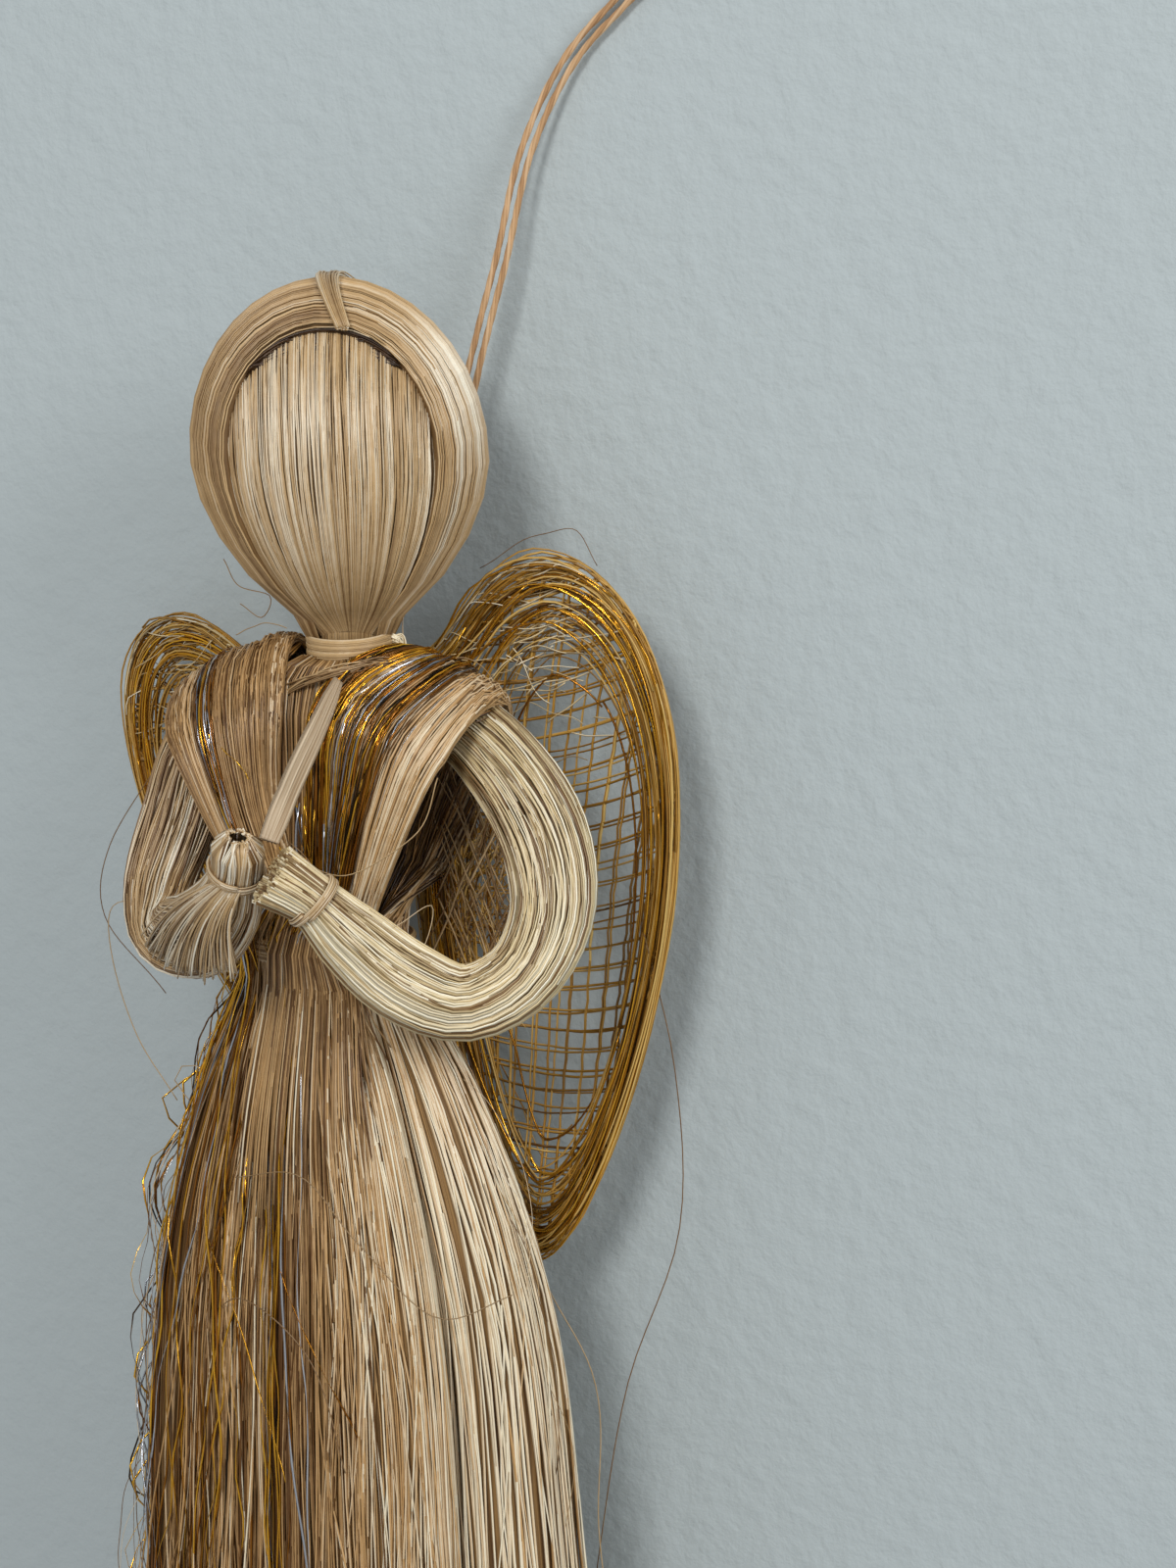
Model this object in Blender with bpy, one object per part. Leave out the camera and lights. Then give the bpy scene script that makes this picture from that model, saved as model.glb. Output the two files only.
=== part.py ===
"""Hanging angel made of tied hanks of straw fibre, with two open-weave wings.

Lengths are millimetres, turned to metres when a mesh is made. The shapes are worked out in the neck's
frame: the neck binding is at zero, the chest faces -Y, and left and right in the names are the viewer's,
so that right is +X. An empty then carries everything, so that the world origin is the top of the loop.
"""
import bpy
import bmesh
import numpy as np

MM = 0.001

# Gap kept between pieces that press on each other
CLEAR = 0.3

# Head: an egg that narrows to the neck
HEAD_RADIUS = 13.6
HEAD_DEPTH = 13.0
CROWN_HEIGHT = 17.0
HEAD_MIDDLE = 19.0
HEAD_LEAN = -2.2
CHEEK_FULLNESS = 0.85
CROWN_LEVELS = 7
CHEEK_LEVELS = 7
FACE_TURN = np.radians(23.0)

# Neck, where the hank is tied tightest
NECK_RADIUS = 2.9
NECK_TOP = 1.7

# Hood of hair over the head
HAIR_THICKNESS = 0.9
HAIR_NECK_THICKNESS = 0.5
HAIR_END = -1.3

# Opening at the face: half width, and its outline as a height and the share of that half width there
FACE_HALF_WIDTH = 9.9
FACE_OUTLINE = [(31.4, 0.0), (30.4, 0.32), (28.6, 0.50), (25.6, 0.69), (21.5, 0.87), (16.5, 1.0),
                (11.5, 0.90), (7.5, 0.70), (4.5, 0.52), (HAIR_END - 1.0, 0.36)]

# Strand laid over the hood at the top of the forehead, by its fall from the crown and turn from the front
PARTING_WIDTH = 3.2
PARTING_TIP = 1.2
PARTING_THICKNESS = 0.7
PARTING_FALL = np.radians([-16.0, 47.0])
PARTING_TURN = np.radians([12.0, 32.0])
PARTING_LEVELS = 12

# Chest and skirt rows of the core hank: height, half width, half depth
CHEST_ROWS = [(-2.3, 4.2, 3.6), (-4.0, 6.2, 4.2), (-7.0, 7.2, 4.5), (-11.0, 7.0, 4.5), (-16.0, 6.3, 4.1),
              (-22.0, 5.4, 3.6)]

# Skirt: height, centre across, centre in depth, outer half width and depth, inner half width and depth
SKIRT_ROWS = [(-29.2, -2.4, -0.8, 8.2, 6.4, 4.8, 3.5), (-33.4, -2.4, -0.8, 8.2, 6.4, 4.8, 3.5),
              (-38.0, -1.9, -1.2, 11.4, 7.2, 5.6, 3.8), (-46.0, -1.1, -1.8, 15.8, 8.4, 6.9, 4.3),
              (-66.0, 0.3, -2.5, 22.4, 10.6, 10.0, 5.6), (-96.0, 1.2, -2.5, 25.4, 12.2, 12.0, 6.6),
              (-145.0, 1.8, -2.5, 28.0, 13.6, 13.4, 7.2)]
SKIRT_LEVELS = 9
HEM_TUCK = 0.86

# Shoulder hanks, front to back: place, width direction, half width, half thickness
RIGHT_SHOULDER = [(3.0, -7.2, -24.0, 1, 0, 0.0, 3.6, 1.8), (5.2, -8.2, -15.0, 1, 0, -0.15, 5.8, 1.6),
                  (7.1, -7.0, -7.3, 1, 0, -0.36, 7.6, 1.4), (11.6, -0.4, -3.0, 1, 0, -0.36, 5.6, 1.4),
                  (9.2, 6.3, -7.6, 1, 0, -0.30, 5.8, 1.2), (6.4, 6.4, -16.0, 1, 0, -0.10, 4.6, 1.3),
                  (3.6, 5.9, -24.0, 1, 0, 0.0, 3.2, 1.4)]
LEFT_SHOULDER = [(-5.6, -7.2, -24.0, 1, 0, 0.0, 3.1, 1.7), (-8.8, -8.0, -15.0, 1, 0, 0.15, 4.8, 1.5),
                 (-11.0, -6.9, -6.8, 1, 0, 0.40, 7.2, 1.4), (-12.8, -0.4, -2.5, 1, 0, 0.45, 7.4, 1.4),
                 (-10.8, 6.3, -7.8, 1, 0, 0.30, 6.4, 1.2), (-8.6, 6.4, -16.0, 1, 0, 0.10, 4.6, 1.3),
                 (-6.6, 5.9, -24.0, 1, 0, 0.0, 3.2, 1.4)]
CHEST_LEVELS = 15

# Locks of the skirt, as the angles that each fills round the core, from the front towards +X
RIGHT_FRONT_LOCK = (-14.0, 48.0)
RIGHT_BACK_LOCK = (56.0, 172.0)
LEFT_BACK_LOCK = (176.0, 262.0)
LEFT_FRONT_LOCK = (-94.0, -18.0)

# Arms hank, from the cut end of one hand to the cut end of the other: place, half width, half thickness
ARMS = [(-0.8, -21.6, -16.8, 2.7, 2.5), (-2.3, -19.6, -20.6, 2.3, 2.1), (-4.9, -17.2, -24.6, 3.4, 2.5),
        (-10.4, -13.6, -28.6, 4.3, 2.6), (-16.8, -9.6, -29.4, 3.6, 2.5), (-19.4, -6.2, -25.4, 3.5, 2.5),
        (-18.6, -3.0, -18.4, 3.8, 2.6), (-16.9, -0.9, -11.4, 3.7, 2.4), (-12.0, 0.3, -7.4, 3.1, 2.1),
        (0.0, 0.5, -6.6, 2.9, 2.0), (10.6, 0.3, -7.2, 3.2, 2.1), (17.4, -0.9, -11.6, 3.9, 2.4),
        (22.6, -2.4, -18.6, 4.2, 2.7), (24.4, -4.8, -25.4, 3.9, 2.7), (22.6, -8.4, -31.2, 3.5, 2.6),
        (18.0, -11.6, -33.6, 3.5, 2.6), (13.2, -14.8, -31.2, 3.8, 2.6), (8.9, -17.4, -26.8, 3.3, 2.4),
        (6.0, -19.6, -23.0, 2.4, 2.1), (3.2, -21.7, -20.6, 2.9, 2.5)]
ARM_LEVELS = 37
ARM_FACING = (0.30, -0.95, 0.0)
LEFT_WRIST_INDEX = 1
RIGHT_WRIST_INDEX = -2

# Bindings: strand thickness, turns, and how far each stands off what it holds
STRAND = 0.75
WRIST_STRAND = 0.55
STRAND_VALLEY = 0.45
NECK_TURNS = 3
WRIST_TURNS = 2
WRIST_SLACK = 0.2
WAIST_TURNS = 3
WAIST_SLACK = 0.2
TIE_TURNS = 3
WAIST_HEIGHT = -31.2
NECK_TILT = np.radians(4.0)

# Flat straw strip between the hands and the chest: place and half width
STRIP = [(3.4, -9.0, -3.0, 1.2), (3.1, -12.8, -7.2, 1.4), (2.8, -17.6, -12.2, 1.3), (2.6, -21.8, -17.1, 0.5)]
STRIP_THICKNESS = 0.5
STRIP_FACING = (0.75, -0.62, -0.2)
STRIP_LEVELS = 10

# Wings: cup and taper, thickness of the net, the rim and its edge, and the rim's share of each way
WING_TAPER = 0.30
WING_CUP = 4.5
WING_NET = 0.7
WING_RIM = 1.5
WING_EDGE = 0.9
WING_RIM_ACROSS = 0.26
WING_RIM_ALONG = 0.104
WING_COLUMNS = 6
WING_ROWS = 10
WING_THREAD = 0.24
RIGHT_WING = dict(middle=(16.9, 11.2, -28.4), length=38.0, width=14.7, lean=-1.5, sweep=0.0)
LEFT_WING = dict(middle=(-14.4, 12.4, -30.0), length=35.5, width=12.2, lean=28.0, sweep=-6.0)

# Root of the wings, where both are gathered and tied behind the chest
ROOT_HEIGHT = -4.6
ROOT_BACK = 0.3
ROOT_REACH = 0.9
ROOT_PULL = 4.2
ROOT_RADIUS = 2.25

# Hanging loop of twine: from the back of the neck, round the bight, and back
TWINE = 0.8
LOOP_SPAN = 1.2
LOOP = [(0.2, 5.3, 0.4), (0.6, 8.2, 2.2), (2.2, 13.4, 8.6), (4.4, 15.6, 17.0), (6.5, 15.6, 27.0),
        (9.6, 16.4, 39.2), (11.8, 18.0, 50.2), (16.0, 19.6, 59.2), (21.6, 20.0, 64.8), (26.8, 20.0, 69.2)]
BIGHT = (30.0, 20.0, 71.4)
LOOP_LEVELS = 48

# Points round a section
CORE_SIDES = 24
HANK_SIDES = 14
FIBRE_RIDGE = 0.014
FLUTE = 0.11


# Numbers and curves

def smooth(rows, count):
    """Rows of numbers read evenly along a smooth curve; the first three columns are the place."""
    rows = np.asarray(rows, float)
    step = np.sqrt(np.linalg.norm(np.diff(rows[:, :3], axis=0), axis=1))
    knot = np.concatenate([[0.0], np.cumsum(step)])
    slope = np.gradient(rows, knot, axis=0)
    fine = np.linspace(0.0, knot[-1], 24 * count)
    cell = np.clip(np.searchsorted(knot, fine, side="right") - 1, 0, len(rows) - 2)
    width = (knot[cell + 1] - knot[cell])[:, None]
    t = (fine[:, None] - knot[cell][:, None]) / width
    dense = ((2 * t**3 - 3 * t**2 + 1) * rows[cell] + (t**3 - 2 * t**2 + t) * width * slope[cell]
             + (3 * t**2 - 2 * t**3) * rows[cell + 1] + (t**3 - t**2) * width * slope[cell + 1])
    run = np.concatenate([[0.0], np.cumsum(np.linalg.norm(np.diff(dense[:, :3], axis=0), axis=1))])
    even = np.linspace(0.0, run[-1], count)
    return np.stack([np.interp(even, run, column) for column in dense.T], axis=1)


def unit(vectors):
    """Vectors of length one."""
    vectors = np.asarray(vectors, float)
    return vectors / np.linalg.norm(vectors, axis=-1, keepdims=True)


def directions(path):
    """Unit direction of a path at each of its points."""
    return unit(np.gradient(path, axis=0))


def round_outline(sides, depth):
    """Unit circle with a ridge at every second point."""
    angle = 2 * np.pi * np.arange(sides) / sides
    swell = 1.0 - depth * (1.0 - np.cos(sides / 2 * angle))
    return np.stack([np.cos(angle) * swell, np.sin(angle) * swell], axis=1)


def flat_outline(sides, depth):
    """Unit circle whose flat faces are fluted: each flute is a lock of fibre."""
    angle = 2 * np.pi * np.arange(sides) / sides
    swell = 1.0 - depth * (1.0 - np.cos(sides / 2 * angle))
    return np.stack([np.cos(angle), np.sin(angle) * swell], axis=1)


def rings_along(path, across, half_width, half_depth, shape):
    """Sections of one outline carried along a path, wide in the direction across."""
    along = directions(path)
    across = unit(across - np.sum(across * along, axis=1, keepdims=True) * along)
    out = np.cross(across, along)
    wide = shape[None, :, 0, None] * (half_width[:, None] * across)[:, None, :]
    deep = shape[None, :, 1, None] * (half_depth[:, None] * out)[:, None, :]
    return path[:, None, :] + wide + deep


# Objects

def material(name, colour, roughness, metallic=0.0):
    """Principled material."""
    made = bpy.data.materials.new(name)
    made.use_nodes = True
    shader = made.node_tree.nodes["Principled BSDF"]
    shader.inputs["Base Color"].default_value = (*colour, 1.0)
    shader.inputs["Roughness"].default_value = roughness
    shader.inputs["Metallic"].default_value = metallic
    return made


def add_mesh(name, points, faces, finish, parent):
    """Object from points in millimetres, with its faces turned out."""
    mesh = bpy.data.meshes.new(name)
    mesh.from_pydata((np.asarray(points) * MM).tolist(), [], faces)
    cage = bmesh.new()
    cage.from_mesh(mesh)
    bmesh.ops.recalc_face_normals(cage, faces=cage.faces)
    cage.to_mesh(mesh)
    cage.free()
    mesh.shade_smooth()
    mesh.materials.append(finish)
    made = bpy.data.objects.new(name, mesh)
    made.parent = parent
    bpy.context.scene.collection.objects.link(made)
    return made


def loft(name, rings, finish, parent, ring_closed=False):
    """Skin over a row of sections, with flat ends, or closed on itself."""
    levels, sides = rings.shape[:2]
    faces = []
    for level in range(levels if ring_closed else levels - 1):
        here, there = level * sides, (level + 1) % levels * sides
        for side in range(sides):
            beside = (side + 1) % sides
            faces.append((here + side, here + beside, there + beside, there + side))
    if not ring_closed:
        faces.append(tuple(range(sides)))
        faces.append(tuple(range((levels - 1) * sides, levels * sides)))
    return add_mesh(name, rings.reshape(-1, 3), faces, finish, parent)


def cut(target, cutter):
    """Take one solid out of another, and hide the cutter."""
    modifier = target.modifiers.new(cutter.name, "BOOLEAN")
    modifier.operation = "DIFFERENCE"
    modifier.solver = "EXACT"
    modifier.object = cutter
    cutter.hide_render = True
    cutter.display_type = "WIRE"


# Head, chest and inner skirt

def head_lean(z):
    """How far the head's middle lies to the side at heights z."""
    return HEAD_LEAN * np.clip((z - NECK_TOP) / (HEAD_MIDDLE + CROWN_HEIGHT - NECK_TOP), 0, 2) ** 0.8


def egg_rows(grow, neck_grow=None):
    """Head sections from the crown down: height, centre, half width and half depth.

    The crown is half an ellipsoid, and below its middle the radius falls as a cosine to the neck.
    """
    turn = np.linspace(0.09, 0.5 * np.pi, CROWN_LEVELS)
    crown_z = HEAD_MIDDLE + (CROWN_HEIGHT + grow) * np.cos(turn)
    below = np.linspace(0.0, 1.0, CHEEK_LEVELS + 1)[1:]
    cheek_z = HEAD_MIDDLE - (HEAD_MIDDLE - NECK_TOP) * below
    narrow = np.cos(0.5 * np.pi * below) ** CHEEK_FULLNESS
    thin = grow if neck_grow is None else grow + (neck_grow - grow) * below
    z = np.concatenate([crown_z, cheek_z])
    rows = []
    for radius in (HEAD_RADIUS, HEAD_DEPTH):
        crown = (radius + grow) * np.sin(turn)
        cheek = NECK_RADIUS + thin + (radius - NECK_RADIUS) * narrow
        rows.append(np.concatenate([crown, cheek]))
    return np.stack([z, head_lean(z), np.zeros_like(z), *rows], axis=1)


def stacked(rows, shape):
    """Level rings from rows of height, centre and half sizes."""
    z, middle_x, middle_y, wide, deep = rows.T
    x = middle_x[:, None] + wide[:, None] * shape[None, :, 0]
    y = middle_y[:, None] + deep[:, None] * shape[None, :, 1]
    return np.stack([x, y, np.repeat(z[:, None], len(shape), axis=1)], axis=2)


def skirt_at(z):
    """Skirt centre and its outer and inner half sizes at heights z."""
    rows = smooth(SKIRT_ROWS, 200)[::-1]
    return [np.interp(z, rows[:, 0], column) for column in rows.T[1:]]


def skirt_heights():
    """Heights of the skirt's sections: the waist's upper edge, then from its lower edge to the hem."""
    waist, below, hem = SKIRT_ROWS[0][0], SKIRT_ROWS[1][0], SKIRT_ROWS[-1][0]
    return np.append(waist, below + (hem - below) * np.linspace(0.0, 1.0, SKIRT_LEVELS - 1) ** 1.35)


def core_rows(grow=0.0):
    """Every section of the core hank, from the crown to the hem."""
    head = egg_rows(grow)
    neck = np.array([(HAIR_END - CLEAR, 0.0, 0.0, NECK_RADIUS + grow, NECK_RADIUS + grow)])
    chest = np.array([(z, 0.0, 0.0, wide + grow, deep + grow) for z, wide, deep in CHEST_ROWS])
    z = skirt_heights()
    middle_x, middle_y, _, _, wide, deep = skirt_at(z)
    tuck = np.where(z <= z[-1], HEM_TUCK, 1.0)
    skirt = np.stack([z, middle_x, middle_y, wide * tuck + grow - CLEAR, deep * tuck + grow - CLEAR], axis=1)
    chest[:, 1] = np.interp(chest[:, 0], [z[0], 0.0], [middle_x[0], 0.0])
    chest[:, 2] = np.interp(chest[:, 0], [z[0], 0.0], [middle_y[0], 0.0])
    return np.concatenate([head, neck, chest, skirt])


def make_core(straw, frame, arms_cutter):
    """One folded hank: the head, the chest with the arms' passage through it, and the inner skirt."""
    core = loft("core_hank", stacked(core_rows(), round_outline(CORE_SIDES, FIBRE_RIDGE)), straw, frame)
    cut(core, arms_cutter)
    return core


def make_hair(straw, frame):
    """Hood over the head with an arched opening at the face, tied in at the neck."""
    shape = round_outline(CORE_SIDES, FIBRE_RIDGE)
    outer = egg_rows(CLEAR + HAIR_THICKNESS, CLEAR + HAIR_NECK_THICKNESS)
    down = np.array([HAIR_END - NECK_TOP, 0.0, 0.0, 0.0, 0.0])
    hair = loft("hair_hank", stacked(np.vstack([outer, outer[-1] + down]), shape), straw, frame)
    inner = egg_rows(CLEAR)
    cut(hair, loft("head_space", stacked(np.vstack([inner, inner[-1] + 2 * down]), shape), straw, frame))
    cut(hair, make_face_cutter(straw, frame))
    return hair


def make_face_cutter(straw, frame):
    """Prism through the front of the hood: arched above, and narrowing to the neck as the cheeks do."""
    z, share = np.array(FACE_OUTLINE).T
    side = np.concatenate([share, -share[:0:-1]]) * FACE_HALF_WIDTH
    height = np.concatenate([z, z[:0:-1]])
    facing = np.array([np.sin(FACE_TURN), -np.cos(FACE_TURN), 0.0])
    across = np.array([np.cos(FACE_TURN), np.sin(FACE_TURN), 0.0])
    middle = np.array([HEAD_LEAN * 0.5, 0.0, 0.0])
    flat = middle + side[:, None] * across + height[:, None] * np.array([0.0, 0.0, 1.0])
    rings = np.stack([flat, flat + facing * (HEAD_RADIUS * 2)])
    return loft("face_opening", rings, straw, frame)


def on_head(turn, fall, lift):
    """Point over the crown: turn about the head from the front, fall from its top, lift off the hood."""
    grow = CLEAR + HAIR_THICKNESS + lift
    x = (HEAD_RADIUS + grow) * np.sin(fall) * np.sin(turn)
    y = -(HEAD_DEPTH + grow) * np.sin(fall) * np.cos(turn)
    z = HEAD_MIDDLE + (CROWN_HEIGHT + grow) * np.cos(fall)
    return np.stack([x + head_lean(z), y, z], axis=-1)


def make_parting_tie(straw, frame):
    """Flat strand over the hood's band at the top of the forehead."""
    fall = np.linspace(*PARTING_FALL, PARTING_LEVELS)
    turn = np.linspace(*PARTING_TURN, PARTING_LEVELS)
    path = on_head(turn, fall, CLEAR + PARTING_THICKNESS / 2)
    across = np.tile([np.cos(FACE_TURN), np.sin(FACE_TURN), 0.0], (PARTING_LEVELS, 1))
    wide = np.linspace(PARTING_WIDTH, PARTING_TIP, PARTING_LEVELS) / 2
    thick = np.full(PARTING_LEVELS, PARTING_THICKNESS / 2)
    rings = rings_along(path, across, wide, thick, flat_outline(10, FLUTE))
    return loft("parting_tie", rings, straw, frame)


# Shoulders and the outer skirt

def lock_rings(z, angles, shape):
    """Sections of a skirt lock: it fills an arc round the core, from the inner to the outer ellipse."""
    middle_x, middle_y, wide, deep, inner_wide, inner_deep = [value[:, None] for value in skirt_at(z)]
    first, last = np.radians(angles)
    turn = (first + last) / 2 + (last - first) / 2 * shape[None, :, 0]
    share = (shape[None, :, 1] + 1) / 2
    tuck = np.where(z <= z.min(), HEM_TUCK, 1.0)[:, None]
    x = middle_x + (inner_wide + (wide - inner_wide) * share * tuck) * np.sin(turn)
    y = middle_y - (inner_deep + (deep - inner_deep) * share * tuck) * np.cos(turn)
    return np.stack([x, y, np.broadcast_to(z[:, None], x.shape)], axis=2)


def make_shoulder_hank(name, keys, front_lock, back_lock, straw, frame, cutters):
    """Hank folded over a shoulder: a front lock of the skirt, the fan, the fold, and a back lock."""
    shape = flat_outline(HANK_SIDES, FLUTE)
    z = skirt_heights()
    front = lock_rings(z[::-1], front_lock, shape)
    back = lock_rings(z, back_lock, shape * np.array([-1.0, 1.0]))
    rows = smooth(keys, CHEST_LEVELS)
    chest = rings_along(rows[:, :3], rows[:, 3:6], rows[:, 6], rows[:, 7], shape)
    hank = loft(name, np.concatenate([front, chest, back]), straw, frame)
    for cutter in cutters:
        cut(hank, cutter)
    return hank


# Arms

def arm_rings(grow=0.0):
    """Sections of the arms hank, flat side to the front."""
    rows = smooth(ARMS, ARM_LEVELS)
    path = rows[:, :3]
    across = np.cross(np.tile(ARM_FACING, (ARM_LEVELS, 1)), directions(path))
    shape = flat_outline(HANK_SIDES, FLUTE if grow == 0 else 0.0)
    return rings_along(path, across, rows[:, 3] + grow, rows[:, 4] + grow, shape)


# Bindings

def wrap(name, middle, across, out, half_width, half_depth, turns, strand, finish, frame, sides):
    """Turns of strand as one ridged band round an ellipse, standing one clearance off it."""
    across, out = unit(across), unit(out)
    along = np.cross(across, out)
    steps = np.arange(2 * turns + 1)
    height = (steps / (2 * turns) - 0.5) * turns * strand
    bulge = strand * np.where(steps % 2 == 1, 1.0, STRAND_VALLEY)
    profile = [(CLEAR + b, h) for b, h in zip(bulge, height)] + [(CLEAR, height[-1]), (CLEAR, height[0])]
    profile = np.array(profile)
    angle = 2 * np.pi * np.arange(sides) / sides
    wide = (half_width + profile[None, :, 0]) * np.cos(angle)[:, None]
    deep = (half_depth + profile[None, :, 0]) * np.sin(angle)[:, None]
    high = np.broadcast_to(profile[None, :, 1], wide.shape)
    rings = np.asarray(middle) + wide[..., None] * across + deep[..., None] * out + high[..., None] * along
    return loft(name, rings, finish, frame, ring_closed=True)


def make_wrist_binding(name, wrist, straw, frame):
    """Binding round an arm, where the arms hank's row of that number lies."""
    rows = smooth(ARMS, 12 * ARM_LEVELS)
    level = np.argmin(np.linalg.norm(rows[:, :3] - ARMS[wrist][:3], axis=1))
    along = directions(rows[:, :3])[level]
    across = unit(np.cross(ARM_FACING, along))
    out = np.cross(along, across)
    half_width, half_depth = rows[level, 3:5] + WRIST_SLACK
    return wrap(name, rows[level, :3], across, out, half_width, half_depth, WRIST_TURNS, WRIST_STRAND,
                straw, frame, 14)


def make_neck_cutter(neck, straw, frame):
    """Space of the neck binding, which the shoulder hanks stay out of."""
    reach = neck + STRAND + 2 * CLEAR
    low = -(NECK_TURNS * STRAND / 2 + reach * np.sin(NECK_TILT) + CLEAR)
    rows = np.array([(low, 0.0, 0.0, reach, reach), (HEAD_MIDDLE / 3, 0.0, 0.0, reach, reach)])
    return loft("neck_space", stacked(rows, round_outline(24, 0.0)), straw, frame)


# Strip between the hands

def make_strip(straw, frame):
    """Flat folded straw that runs from the hands up to the chest, pointed at its lower end."""
    rows = smooth(STRIP, STRIP_LEVELS)
    across = np.cross(np.tile(STRIP_FACING, (STRIP_LEVELS, 1)), directions(rows[:, :3]))
    thick = np.full(STRIP_LEVELS, STRIP_THICKNESS / 2)
    flat = np.array([(1, 0), (0.6, 0.8), (-0.6, 0.8), (-1, 0), (-0.5, -1), (0.5, -1)], float)
    return loft("hand_strip", rings_along(rows[:, :3], across, rows[:, 3], thick, flat), straw, frame)


# Wings

def tie_depth():
    """How far behind the middle the wing tie lies, against the back of the chest."""
    return max(depth for _, _, depth in CHEST_ROWS) + 2 * CLEAR + STRAND + ROOT_RADIUS


def open_wing(u, v, middle, length, width, lean, sweep):
    """Place on a wing's middle surface before its root is gathered, for u across and v along, -1 to 1.

    The square is pressed into a disc, the disc into an egg that is broad at the top, and the egg is cupped
    towards the front.
    """
    disc_x, disc_z = u * np.sqrt(1 - v * v / 2), v * np.sqrt(1 - u * u / 2)
    x = width * (1 + WING_TAPER * disc_z) * disc_x
    z = length * disc_z
    y = WING_CUP * (1 - disc_x**2 - disc_z**2) - WING_CUP / 2
    turn, swing = np.radians(lean), np.radians(sweep)
    x, z = x * np.cos(turn) - z * np.sin(turn), x * np.sin(turn) + z * np.cos(turn)
    x, y = x * np.cos(swing) - y * np.sin(swing), x * np.sin(swing) + y * np.cos(swing)
    return np.stack([x + middle[0], y + middle[1], z + middle[2]], axis=-1)


def wing_point(u, v, side, size):
    """Place on a wing's middle surface, with the inner edge by the root pulled in to the wing tie."""
    root = np.array([side * ROOT_REACH, tie_depth() + ROOT_BACK, ROOT_HEIGHT])
    along = wing_cells()[1]
    edge = open_wing(np.full(len(along), -1.0 * side), along, **size)
    near = edge[np.argmin(np.linalg.norm(edge - root, axis=-1))]
    place = open_wing(u, v, **size)
    away = np.linalg.norm(place - near, axis=-1)
    pull = np.exp(-((away / ROOT_PULL) ** 2))[..., None]
    return place + (root - near) * pull


def wing_cells():
    """Grid lines of the net across and along, with the rim's lines at both ends."""
    lines = []
    for share, count in ((WING_RIM_ACROSS, WING_COLUMNS), (WING_RIM_ALONG, WING_ROWS)):
        lines.append(np.concatenate([[-1.0], np.linspace(share - 1, 1 - share, count + 1), [1.0]]))
    return lines


def make_wing(name, side, size, finish, frame):
    """Open-weave wing as one wall: a grid with a gap in each cell, and a thick rolled rim round it."""
    across, along = wing_cells()
    u, v = np.meshgrid(across, along, indexing="ij")
    middle = wing_point(u, v, side, size)
    step = 1e-3
    right, up = wing_point(u - step, v, side, size), wing_point(u, v - step, side, size)
    out = unit(np.cross(middle - right, middle - up))
    columns, rows = len(across), len(along)
    rim = np.zeros((columns, rows), bool)
    rim[[0, -1], :] = True
    rim[:, [0, -1]] = True
    beside = np.zeros_like(rim)
    beside[[1, -2], 1:-1] = True
    beside[1:-1, [1, -2]] = True
    half = np.where(rim, WING_EDGE / 2, np.where(beside, WING_RIM / 2, WING_NET / 2))[..., None]
    points = [*(middle + out * half).reshape(-1, 3), *(middle - out * half).reshape(-1, 3)]
    node = np.arange(columns * rows).reshape(columns, rows)
    lower = columns * rows
    faces = []
    for i in range(columns - 1):
        for j in range(rows - 1):
            corner = [node[i, j], node[i + 1, j], node[i + 1, j + 1], node[i, j + 1]]
            if i in (0, columns - 2) or j in (0, rows - 2):
                faces.append(tuple(corner))
                faces.append(tuple(c + lower for c in corner))
                continue
            hole = []
            for layer in (0, lower):
                around = np.array([points[c + layer] for c in corner])
                centre = around.mean(axis=0)
                hole.append(range(len(points), len(points) + 4))
                points.extend(centre + (around - centre) * (1 - 2 * WING_THREAD))
            for k in range(4):
                m = (k + 1) % 4
                faces.append((corner[k], corner[m], hole[0][m], hole[0][k]))
                faces.append((corner[k] + lower, corner[m] + lower, hole[1][m], hole[1][k]))
                faces.append((hole[0][k], hole[0][m], hole[1][m], hole[1][k]))
    border = [*node[:, 0], *node[-1, 1:], *node[-2::-1, -1], *node[0, -2:0:-1]]
    for here, there in zip(border, border[1:] + border[:1]):
        faces.append((here, there, there + lower, here + lower))
    return add_mesh(name, np.array(points), [tuple(int(i) for i in face) for face in faces], finish, frame)


# Hanging loop

def loop_route():
    """Points of the twine: up one leg, round the bight, and down the other."""
    leg = np.array(LOOP)
    along = directions(leg)
    beside = unit(np.cross(along, (0.0, 1.0, 0.0))) * LOOP_SPAN / 2
    return np.concatenate([leg - beside, [BIGHT], (leg + beside)[::-1]])


def make_loop(twine, frame):
    """Hanging loop as one tube."""
    curve = bpy.data.curves.new("hanging_loop", "CURVE")
    curve.dimensions = "3D"
    curve.bevel_depth = TWINE / 2 * MM
    curve.bevel_resolution = 2
    curve.use_fill_caps = True
    route = smooth(loop_route(), LOOP_LEVELS) * MM
    spline = curve.splines.new("POLY")
    spline.points.add(len(route) - 1)
    spline.points.foreach_set("co", np.column_stack([route, np.ones(len(route))]).ravel())
    curve.materials.append(twine)
    made = bpy.data.objects.new("hanging_loop", curve)
    made.parent = frame
    bpy.context.scene.collection.objects.link(made)
    return made


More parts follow.
